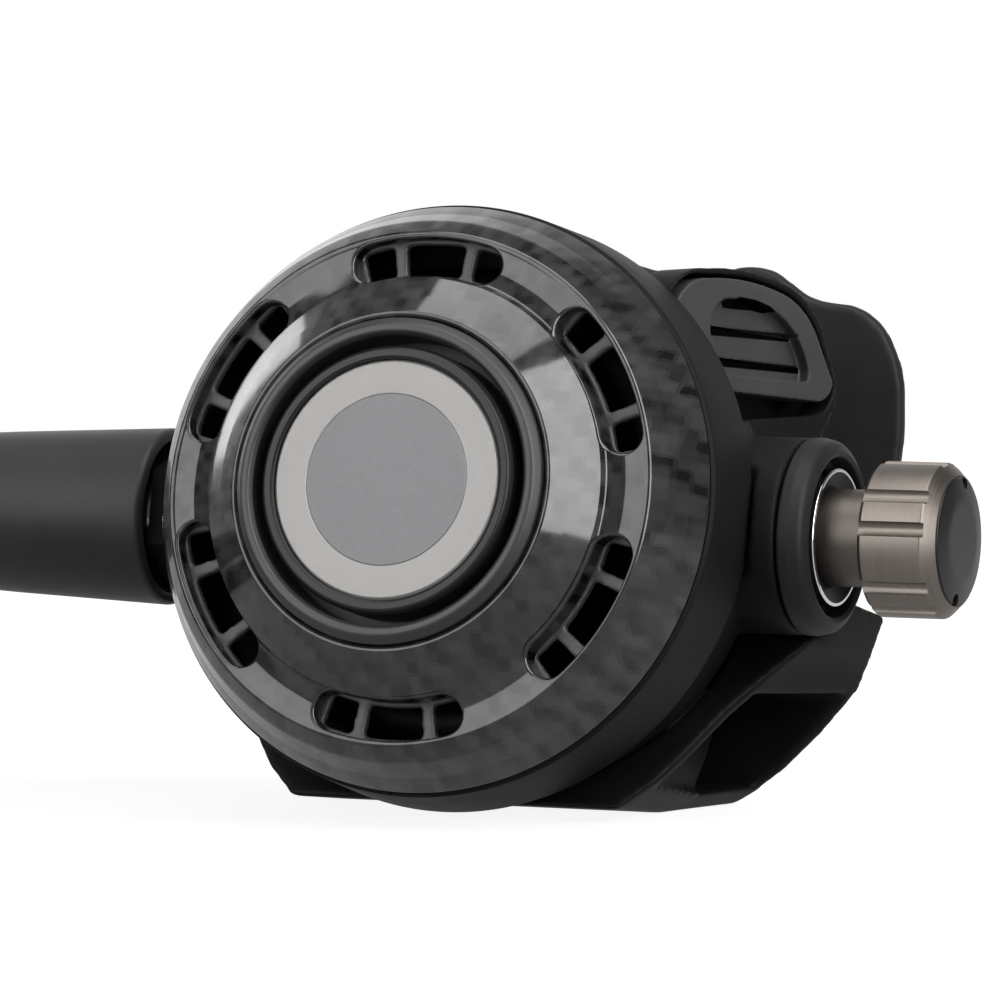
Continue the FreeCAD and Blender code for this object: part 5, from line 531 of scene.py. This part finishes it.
def make_cover():
    """The domed cover with its curved slots."""
    slots = 6
    corners = [
        (20.85, -37.0, 0.35), (21.5, -37.3, 0.5), (24.0, -35.3, 3.0),
        (26.75, -33.0, 0.7), (27.3, -32.3, 0.7), (29.6, -31.55, 3.0), (32.0, -31.55, 0.6),
        (32.7, -31.75, 0.7), (34.6, -29.4, 3.0), (36.1, -25.9, 4.0), (37.7, -22.9, 0.3),
        (36.42, -22.75), (36.42, -17.7), (35.0, -17.7), (34.8, -26.0), (33.3, -27.7),
        (33.2, -29.35), (25.6, -29.35), (23.4, -32.3), (23.4, -33.45), (20.85, -33.45),
    ]
    cover = lathe("cover_shell", corners, around_cover, segments=256, steps=9)
    turns = [math.pi / 2 + 2 * math.pi * count / slots for count in range(slots)]
    cut(cover, *[slot_cutter(angle) for angle in turns])
    dress(cover, "second_stage", "carbon", CARBON, "front_cover")


def make_purge_collar():
    """The ring round the purge button."""
    collar = lathe("collar_ring", [
        (18.4, -37.9, 0.4), (18.9, -38.6, 0.5), (19.8, -38.6, 0.8), (20.72, -37.6, 0.5),
        (20.72, -33.45), (22.95, -33.35), (22.95, -32.35), (18.4, -32.35)], around_cover)
    dress(collar, "second_stage", "satin_black", COLLAR, "purge_collar")


def make_button():
    """The purge button, with the stem that pushes the diaphragm."""
    button = lathe("button_shell", [
        (0, -37.65), (15.28, -37.65), (15.28, -38.5, 0.2), (15.7, -38.7, 0.3), (16.6, -38.7, 0.5),
        (17.1, -37.9, 0.4), (17.1, -32.0), (20.0, -32.0, 0.2), (20.0, -30.6, 0.2), (15.5, -30.6),
        (15.5, -36.2), (5.2, -36.2), (5.2, -18.1), (0, -18.1)], around_cover)
    dress(button, "button", "satin_black", SATIN, "purge_button")


def make_badge():
    """The plain badge let into the button, with a darker field inside a fine groove."""
    badge = lathe("badge_plate", [
        (0, -38.4), (10.8, -38.4, 0.05), (10.9, -38.3), (11.0, -38.4, 0.05),
        (14.9, -38.4, 0.15), (15.2, -38.1), (15.2, -37.7), (0, -37.7)], around_cover)
    dress(badge, "button", "badge", BADGE, "button_badge")
    field_radius = 10.9
    recolour(badge, BADGE_FIELD, lambda middle: math.hypot(middle.x, middle.z) < field_radius)


def box_cutter(low, high):
    """A box between two opposite corners."""
    corners = [(low[0], low[1]), (high[0], low[1]), (high[0], high[1]), (low[0], high[1])]
    rings = [[Vector((x, y, z)) for x, y in corners] for z in (low[2], high[2])]
    return stack("box_cutter", rings)


def make_ring():
    """The band that holds the cover, grooved inside, with a small notch at its foot."""
    ring = lathe("ring_shell", [
        (36.52, -22.55), (37.5, -22.55, 0.2), (37.97, -22.1, 0.4), (38.44, -10.55, 0.3),
        (36.52, -10.55), (36.52, -12.6), (36.95, -12.8), (36.95, -13.6), (36.52, -13.8),
        (36.52, -19.6), (36.95, -19.8), (36.95, -20.6), (36.52, -20.8)], around_cover, segments=256)
    cut(ring, box_cutter((-2.8, -23.0, -40.0), (2.8, -22.0, -36.0)))
    dress(ring, "second_stage", "case_black", CASE, "retaining_ring")


def on_lever_plane(point, station):
    """A point of the flow lever's upright plane, at a station outward from its face."""
    along = Vector((math.cos(LEVER_PLANE_TURN), math.sin(LEVER_PLANE_TURN), 0))
    outward = Vector((math.sin(LEVER_PLANE_TURN), -math.cos(LEVER_PLANE_TURN), 0))
    start = Vector((LEVER_PLANE_X, LEVER_PLANE_Y, point[1]))
    return start + along * point[0] + outward * station


def make_lever():
    """The pre-dive lever, with its louvres' shadow gaps and the deep edge over the top one; the
    gaps' cut faces are painted black as shade.
    """
    lever = moulded("flow_lever", "lever_shell", voxel=0.2, rounds=5)
    dress(lever, "flow", "lever_grey", LEVER, "flow_lever")
    lever.data.materials.append(SHADE_BLACK)
    gap_floor = -3.4
    gap_front = 1.0
    shadow_gaps = (
        [(2.6, 25.5), (18.3, 27.3), (18.3, 27.9), (2.6, 26.8)],
        [(3.6, 21.7), (20.6, 23.5), (20.6, 24.3), (3.6, 22.9)],
        [(4.6, 30.2), (6.5, 31.1), (9.5, 31.25), (12.45, 30.9), (13.7, 30.4),
         (12.9, 30.1), (10.3, 30.05), (6.8, 29.6), (5.2, 29.5)],
    )
    cutters = []
    for gap in shadow_gaps:
        rings = [[on_lever_plane(point, station) for point in gap]
                 for station in (gap_floor, gap_front)]
        cutter = stack("gap_cutter", rings)
        # Painted shade: the cutter's near-black passes to the cut faces, so each gap reads as
        # shade.
        cutter.data.materials.append(SHADE_BLACK)
        cutters.append(cutter)
    cut(lever, *cutters)


def make_moulded_parts():
    """Pieces whose edges are only softened: each keeps the shape of its CAD node."""
    case = moulded("case_body", "case_shell", voxel=0.4, rounds=5)
    dress(case, "second_stage", "case_black", CASE, "case_body")
    plate = moulded("slot_plate", "slot_webs", voxel=0.3, rounds=3)
    dress(plate, "second_stage", "lever_grey", LIT_WEB_GREY, "slot_plate")
    tee = moulded("exhaust_tee", "tee_shell", voxel=0.32, rounds=26)
    dress(tee, "second_stage", "black_rubber", RUBBER, "exhaust_tee")
    mouth = moulded("mouthpiece", "mouth_shell", voxel=0.32, rounds=26)
    dress(mouth, "second_stage", "black_rubber", MOUTH, "mouthpiece")
    diaphragm = polished("diaphragm", "diaphragm_sheet", width=0.15)
    dress(diaphragm, "second_stage", "black_rubber", RUBBER, "diaphragm")
    flap = polished("exhaust_valve", "exhaust_flap", width=0.12)
    dress(flap, "exhaust_flap", "clear_silicone", SILICONE, "exhaust_valve")
    clamp = moulded("mouthpiece_clamp", "clamp_band", voxel=0.3, rounds=3)
    dress(clamp, "second_stage", "satin_black", SATIN, "mouthpiece_clamp")


def make_end_ring():
    """The soft ring on the case's right end."""
    collar = lathe("end_ring", [
        (42.5, 7.75), (43.7, 7.75), (43.7, 10.2), (46.1, 10.2, 0.3), (46.4, 10.8, 0.3),
        (45.6, 12.2, 1.3), (44.0, 12.6, 0.8), (42.5, 12.6, 0.4)], around_barrel)
    dress(collar, "second_stage", "satin_black", SOFT, "end_collar")


def make_barrel():
    """The bright barrel through the case, painted dark inside its right mouth: the seal rubber's
    black stands for a seal there and for the recess's deep shade.
    """
    barrel = lathe("barrel_tube", [
        (-53.5, 4.6), (-18.0, 4.6), (-18.0, 5.9), (31.0, 5.9), (31.0, 6.3), (45.4, 6.3),
        (46.0, 7.9, 0.15), (46.2, 8.3, 0.2), (46.2, 8.8, 0.2), (44.0, 8.8), (44.0, 7.6),
        (-46.4, 7.6), (-46.4, 7.0), (-53.5, 7.0)], around_barrel)
    dress(barrel, "second_stage", "bright_metal", CHROME, "valve_barrel")
    mouth_station = 45.0
    mouth_radius = 8.45

    def in_shaded_mouth(middle):
        return middle.x > mouth_station and math.hypot(middle.y, middle.z) < mouth_radius

    # Partly painted shade: the mouth's faces take the seal rubber's black, for a seal there and for
    # the shade deep in the recess.
    recolour(barrel, SEAL, in_shaded_mouth)


def rod_cutter(start, end, centre, radius, points=24):
    """A rod along the barrel's axis, from station to station, round a centre given as Y and Z."""
    rings = []
    for station in (start, end):
        rings.append([
            Vector((station, centre[0] + radius * math.cos(2 * math.pi * step / points),
                    centre[1] + radius * math.sin(2 * math.pi * step / points)))
            for step in range(points)])
    return stack("rod_cutter", rings)


def make_knob():
    """The knob, with its flutes in pairs."""
    knob = lathe("knob_shell", [
        (52.3, 4.05), (61.1, 4.05), (61.1, 8.2), (62.4, 8.2, 0.04), (62.4, 8.35, 0.08),
        (60.8, 9.9, 0.5), (52.8, 9.9, 0.3), (52.3, 9.4, 0.3)], around_barrel, segments=240)
    pairs = 5
    pair_degrees = 26
    first_degrees = 154.8
    flute_ring = 10.0
    flute_radius = 0.98
    flute_left = 52.0
    flute_right = 61.15
    cutters = []
    for pair in range(pairs):
        for offset in (0, pair_degrees):
            angle = math.radians(first_degrees + offset + 360 / pairs * pair)
            centre = (flute_ring * math.cos(angle), flute_ring * math.sin(angle))
            cutters.append(rod_cutter(flute_left, flute_right, centre, flute_radius))
    cut(knob, *cutters)
    dress(knob, "knob", "knob_metal", KNOB, "adjuster_knob")


def make_cap():
    """The cap in the knob's end, with two notches."""
    cap = lathe("cap_disc", [
        (61.2, 0), (63.1, 0), (63.1, 5.2, 9.0), (62.6, 8.14, 0.3), (61.2, 8.14)], around_barrel)
    notch_ring = 7.6
    notch_radius = 0.9
    notch_floor = 62.1
    notch_front = 63.6
    cut(cap, *[rod_cutter(notch_floor, notch_front, (0, height), notch_radius)
               for height in (notch_ring, -notch_ring)])
    dress(cap, "knob", "satin_black", SATIN, "knob_cap")


def make_stem():
    """The stem that the knob turns, with grooves for its ring and its stop pin, in the knob's metal
    darkened as painted shade.
    """
    neck = lathe("screw_body", [
        (34.0, 0), (59.5, 0), (59.5, 4.0), (52.2, 4.0), (52.2, 6.2, 0.2), (42.65, 6.2),
        (42.65, 5.1), (41.15, 5.1), (41.15, 6.2), (40.1, 6.2), (40.1, 5.1), (34.9, 5.1),
        (34.9, 6.2), (34.0, 6.2)], around_barrel)
    dress(neck, "knob", "knob_metal", SHADED_KNOB_METAL, "adjuster_screw")


def make_sleeve():
    """The tapered sleeve over the hose's first stretch, with a thin lip at its end."""
    sleeve = lathe("sleeve_body", [
        (-107.6, 5.75, 0.3), (-80.6, 5.75), (-80.6, 7.75), (-60.0, 7.75), (-60.0, 10.0),
        (-46.5, 10.0, 0.3), (-46.5, 11.6, 0.8), (-69.0, 10.6, 60.0), (-104.0, 8.6, 1.2),
        (-104.6, 7.3, 1.0), (-107.6, 6.7, 0.4)], around_barrel)
    dress(sleeve, "second_stage", "grey_rubber", SLEEVE, "hose_protector")


def hose_route():
    """Points of the hose's spline, in row metres, on the same route as its CAD solids.

    The hose drops from the sleeve to the coil's upper loop, sinks to the lower one in the
    second half of its first turn, and ends in a straight run that carries the fitting.
    """
    lead = [(-0.080, 0.036), (-0.121, 0.036), (-0.1452, 0.0172), (-0.1652, 0.0172)]
    set_back = AXIS_SETBACK * MM
    radius = 0.056
    lead_in = 0.004
    upper = 0.0172
    lower = 0.00555
    middle_x = lead[-1][0] - lead_in
    middle_y = set_back - radius
    points = [(x, set_back, z) for x, z in lead]
    loops = 1.5
    sink_from = 0.5
    sink_turns = 0.5
    start_turns = 0.25
    per_turn = 16
    for step in range(1, int(loops * per_turn)):
        turns = step / per_turn
        angle = 2 * math.pi * (turns + start_turns)
        phase = min(max((turns - sink_from) / sink_turns, 0), 1)
        height = upper - (upper - lower) * (1 - math.cos(math.pi * phase)) / 2
        # A point stands a little outside its loop, because the spline runs inside its points.
        grown = radius / math.cos(math.pi / per_turn) ** 0.5
        points.append((
            middle_x + grown * math.cos(angle), middle_y + grown * math.sin(angle), height))
    tail_y = set_back - 2 * radius
    tail_start = 0.004
    tail_flat = 0.050
    tail_run = 0.032
    tail_height = 0.0085
    points += [
        (middle_x + tail_start, tail_y, lower),
        (middle_x + tail_flat, tail_y, lower),
        (middle_x + tail_flat + tail_run / 2, tail_y, tail_height),
        (middle_x + tail_flat + tail_run, tail_y, tail_height),
    ]
    return points


def make_hose():
    """The hose as one smooth round cord."""
    hose_radius = 0.0055
    points = hose_route()
    curve = bpy.data.curves.new("hose", "CURVE")
    curve.dimensions = "3D"
    curve.bevel_depth = hose_radius
    curve.bevel_resolution = 8
    curve.resolution_u = 12
    curve.use_fill_caps = True
    spline = curve.splines.new("NURBS")
    spline.points.add(len(points) - 1)
    for place, point in enumerate(points):
        spline.points[place].co = (*point, 1)
    spline.order_u = 3
    spline.use_endpoint_u = True
    hose = bpy.data.objects.new("hose", curve)
    bpy.context.scene.collection.objects.link(hose)
    dress(hose, "second_stage", "hose_rubber", HOSE, "hose_lead", "hose_coil")
    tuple(points[0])


def spring_copy(node, name):
    """A smooth-shaded steel copy of a spring node, which it stands in for, with a mesh of its own.
    """
    thing = link(name, nodes[node].data.copy())
    shade(thing)
    dress(thing, "second_stage", "steel", STEEL, node)
    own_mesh(thing)


def make_springs():
    spring_copy("purge_spring", "purge_coil")
    spring_copy("poppet_spring", "poppet_coil")


def dress_nodes():
    """Materials of the CAD nodes that keep their own shape."""
    kept = {
        STEEL: ("demand_lever", "lever_washer", "stop_pin", "hose_ferrule", "far_ferrule"),
        CHROME: ("swivel_nut", "barrel_nut", "hose_stem", "far_fitting"),
        BRASS: ("inlet_orifice", "lever_nut"),
        WHITE: ("poppet", "balance_piston", "diaphragm_disc"),
        SEAL: ("orifice_seal", "seat_disc", "balance_seal", "adjuster_seal", "lever_seal",
               "swivel_seal", "far_seal"),
        SATIN: ("flow_vane",),
    }
    for material, names in kept.items():
        for name in names:
            nodes[name].data.materials.clear()
            nodes[name].data.materials.append(material)


def paint_nut_shade():
    """Painted shade: the chrome barrel nut is painted black where it lies in the sleeve's mouth and
    stays bright next to the case.
    """
    bright_from = -44.3
    recolour(nodes["barrel_nut"], SHADE_BLACK, lambda middle: middle.x < bright_from)


def make_camera():
    """The photo's camera, aimed at the valve frame's origin; angles are in the row frame."""
    camera = bpy.data.cameras.new("camera")
    camera.lens = CAMERA_LENS
    camera.sensor_width = CAMERA_SENSOR
    camera.shift_x = -AIM_RIGHT_PIXELS / IMAGE_PIXELS
    camera.shift_y = AIM_DOWN_PIXELS / IMAGE_PIXELS
    camera.clip_start = 0.05
    camera.clip_end = 30.0
    thing = bpy.data.objects.new("camera", camera)
    bpy.context.scene.collection.objects.link(thing)
    target = Matrix.Translation(VALVE.translation)
    turn = Matrix.Rotation(CAMERA_AZIMUTH, 4, "Z")
    rise = Matrix.Rotation(math.pi / 2 - CAMERA_ELEVATION, 4, "X")
    roll = Matrix.Rotation(CAMERA_ROLL, 4, "Z")
    away = Matrix.Translation(Vector((0, 0, CAMERA_DISTANCE * MM)))
    thing.matrix_world = target @ turn @ rise @ roll @ away
    bpy.context.scene.camera = thing


def make_floor():
    """A floor that looks white where nothing shades it and stays white out to the horizon.

    Part of its light is its own and the rest comes from the lamps, so that it holds a shadow.
    """
    half = 4.0
    near = 0.35
    far = 0.9
    diffuse_share = 0.3
    open_light = 0.34
    mirrored_share = 0.5
    mesh = bpy.data.meshes.new("floor")
    corners = [(-half, -half, 0), (half, -half, 0), (half, half, 0), (-half, half, 0)]
    mesh.from_pydata(corners, [], [(0, 1, 2, 3)])
    floor = link("floor", mesh)
    shader = Shader("pale_floor", (diffuse_share, diffuse_share, diffuse_share), 0.9,
                    Specular_IOR_Level=0.0)
    where = shader.node("ShaderNodeTexCoord")
    reach = shader.node("ShaderNodeVectorMath", operation="LENGTH")
    shader.join(where.outputs["Object"], reach.inputs[0])
    outer = shader.spread(reach.outputs["Value"], near, far)
    shader.colours(outer, (diffuse_share, diffuse_share, diffuse_share), (0, 0, 0))
    path = shader.node("ShaderNodeLightPath")
    seen = shader.math("MAXIMUM", path.outputs["Is Camera Ray"], path.outputs["Is Glossy Ray"])
    seen = shader.math("MAXIMUM", seen, path.outputs["Is Transmission Ray"])
    shader.put("Emission Color", (1, 1, 1, 1))
    glow = shader.spread(outer, 0.0, 1.0, 1 - diffuse_share * open_light, 1.0)
    mirrored = shader.spread(path.outputs["Is Glossy Ray"], 0.0, 1.0, 1.0, mirrored_share)
    glow = shader.math("MULTIPLY", glow, mirrored)
    shader.join(shader.math("MULTIPLY", seen, glow), shader.surface.inputs["Emission Strength"])
    floor.data.materials.append(shader.material)


def make_world():
    """White to the camera; otherwise a pale backdrop behind the object and a dim room."""
    room = 0.1
    backdrop_way = (-0.5, 0.86, 0.1)
    backdrop_edge = 0.55
    backdrop_full = 0.95
    world = bpy.data.worlds.new("studio")
    bpy.context.scene.world = world
    world.use_nodes = True
    tree = world.node_tree
    background = tree.nodes["Background"]
    where = tree.nodes.new("ShaderNodeTexCoord")
    toward = tree.nodes.new("ShaderNodeVectorMath")
    toward.operation = "DOT_PRODUCT"
    toward.inputs[1].default_value = backdrop_way
    tree.links.new(where.outputs["Generated"], toward.inputs[0])
    behind = tree.nodes.new("ShaderNodeMapRange")
    behind.inputs["From Min"].default_value = backdrop_edge
    behind.inputs["From Max"].default_value = backdrop_full
    behind.inputs["To Min"].default_value = room
    tree.links.new(toward.outputs["Value"], behind.inputs["Value"])
    path = tree.nodes.new("ShaderNodeLightPath")
    strength = tree.nodes.new("ShaderNodeMath")
    strength.operation = "MAXIMUM"
    tree.links.new(path.outputs["Is Camera Ray"], strength.inputs[0])
    tree.links.new(behind.outputs[0], strength.inputs[1])
    tree.links.new(strength.outputs[0], background.inputs["Strength"])
    background.inputs["Color"].default_value = (1, 1, 1, 1)


def area_light(name, spot, aim, wide, high, radiance):
    """A rectangular lamp that faces its aim."""
    lamp = bpy.data.lights.new(name, "AREA")
    lamp.shape = "RECTANGLE"
    lamp.size = wide
    lamp.size_y = high
    lamp.energy = radiance * math.pi * wide * high
    thing = bpy.data.objects.new(name, lamp)
    thing.location = spot
    thing.rotation_mode = "QUATERNION"
    thing.rotation_quaternion = (aim - spot).to_track_quat("-Z", "Y")
    bpy.context.scene.collection.objects.link(thing)
    return thing


def softbox(name, azimuth, elevation, wide, high, mirrored, diffuse):
    """Light placed and sized by angles in degrees.

    The card shows in gloss alone and the lamp gives plain light alone, each at its radiance.
    """
    away = 1.3
    target = VALVE @ Vector((0, 0, 0))
    turn = math.radians(azimuth)
    rise = math.radians(elevation)
    spot = target + away * Vector((
        math.sin(turn) * math.cos(rise), -math.cos(turn) * math.cos(rise), math.sin(rise)))
    width = 2 * away * math.tan(math.radians(wide) / 2)
    height = 2 * away * math.tan(math.radians(high) / 2)
    if mirrored > 0:
        card = area_light(name + "_card", spot, target, width, height, mirrored)
        card.visible_diffuse = False
    lamp = area_light(name + "_lamp", spot, target, width, height, diffuse)
    lamp.visible_glossy = False


def make_lights():
    """Soft lamps, where the highlights in the photo ask for them."""
    softbox("right", 57, 25, wide=28, high=74, mirrored=7.6, diffuse=3.0)
    softbox("left", -28, 18, wide=50, high=60, mirrored=3.6, diffuse=1.5)
    softbox("top", -10, 80, wide=40, high=40, mirrored=4.0, diffuse=2.4)
    softbox("side", -111, 18, wide=10, high=34, mirrored=4.4, diffuse=3.0)
    softbox("flank", 100, 38, wide=40, high=50, mirrored=0, diffuse=3.0)


make_camera()
make_cover()
make_purge_collar()
make_button()
make_badge()
make_ring()
make_moulded_parts()
make_lever()
make_end_ring()
make_barrel()
make_knob()
make_cap()
make_stem()
make_sleeve()
make_hose()
make_springs()
dress_nodes()
paint_nut_shade()
make_floor()
make_world()
make_lights()
bpy.context.scene.view_settings.view_transform = "Standard"
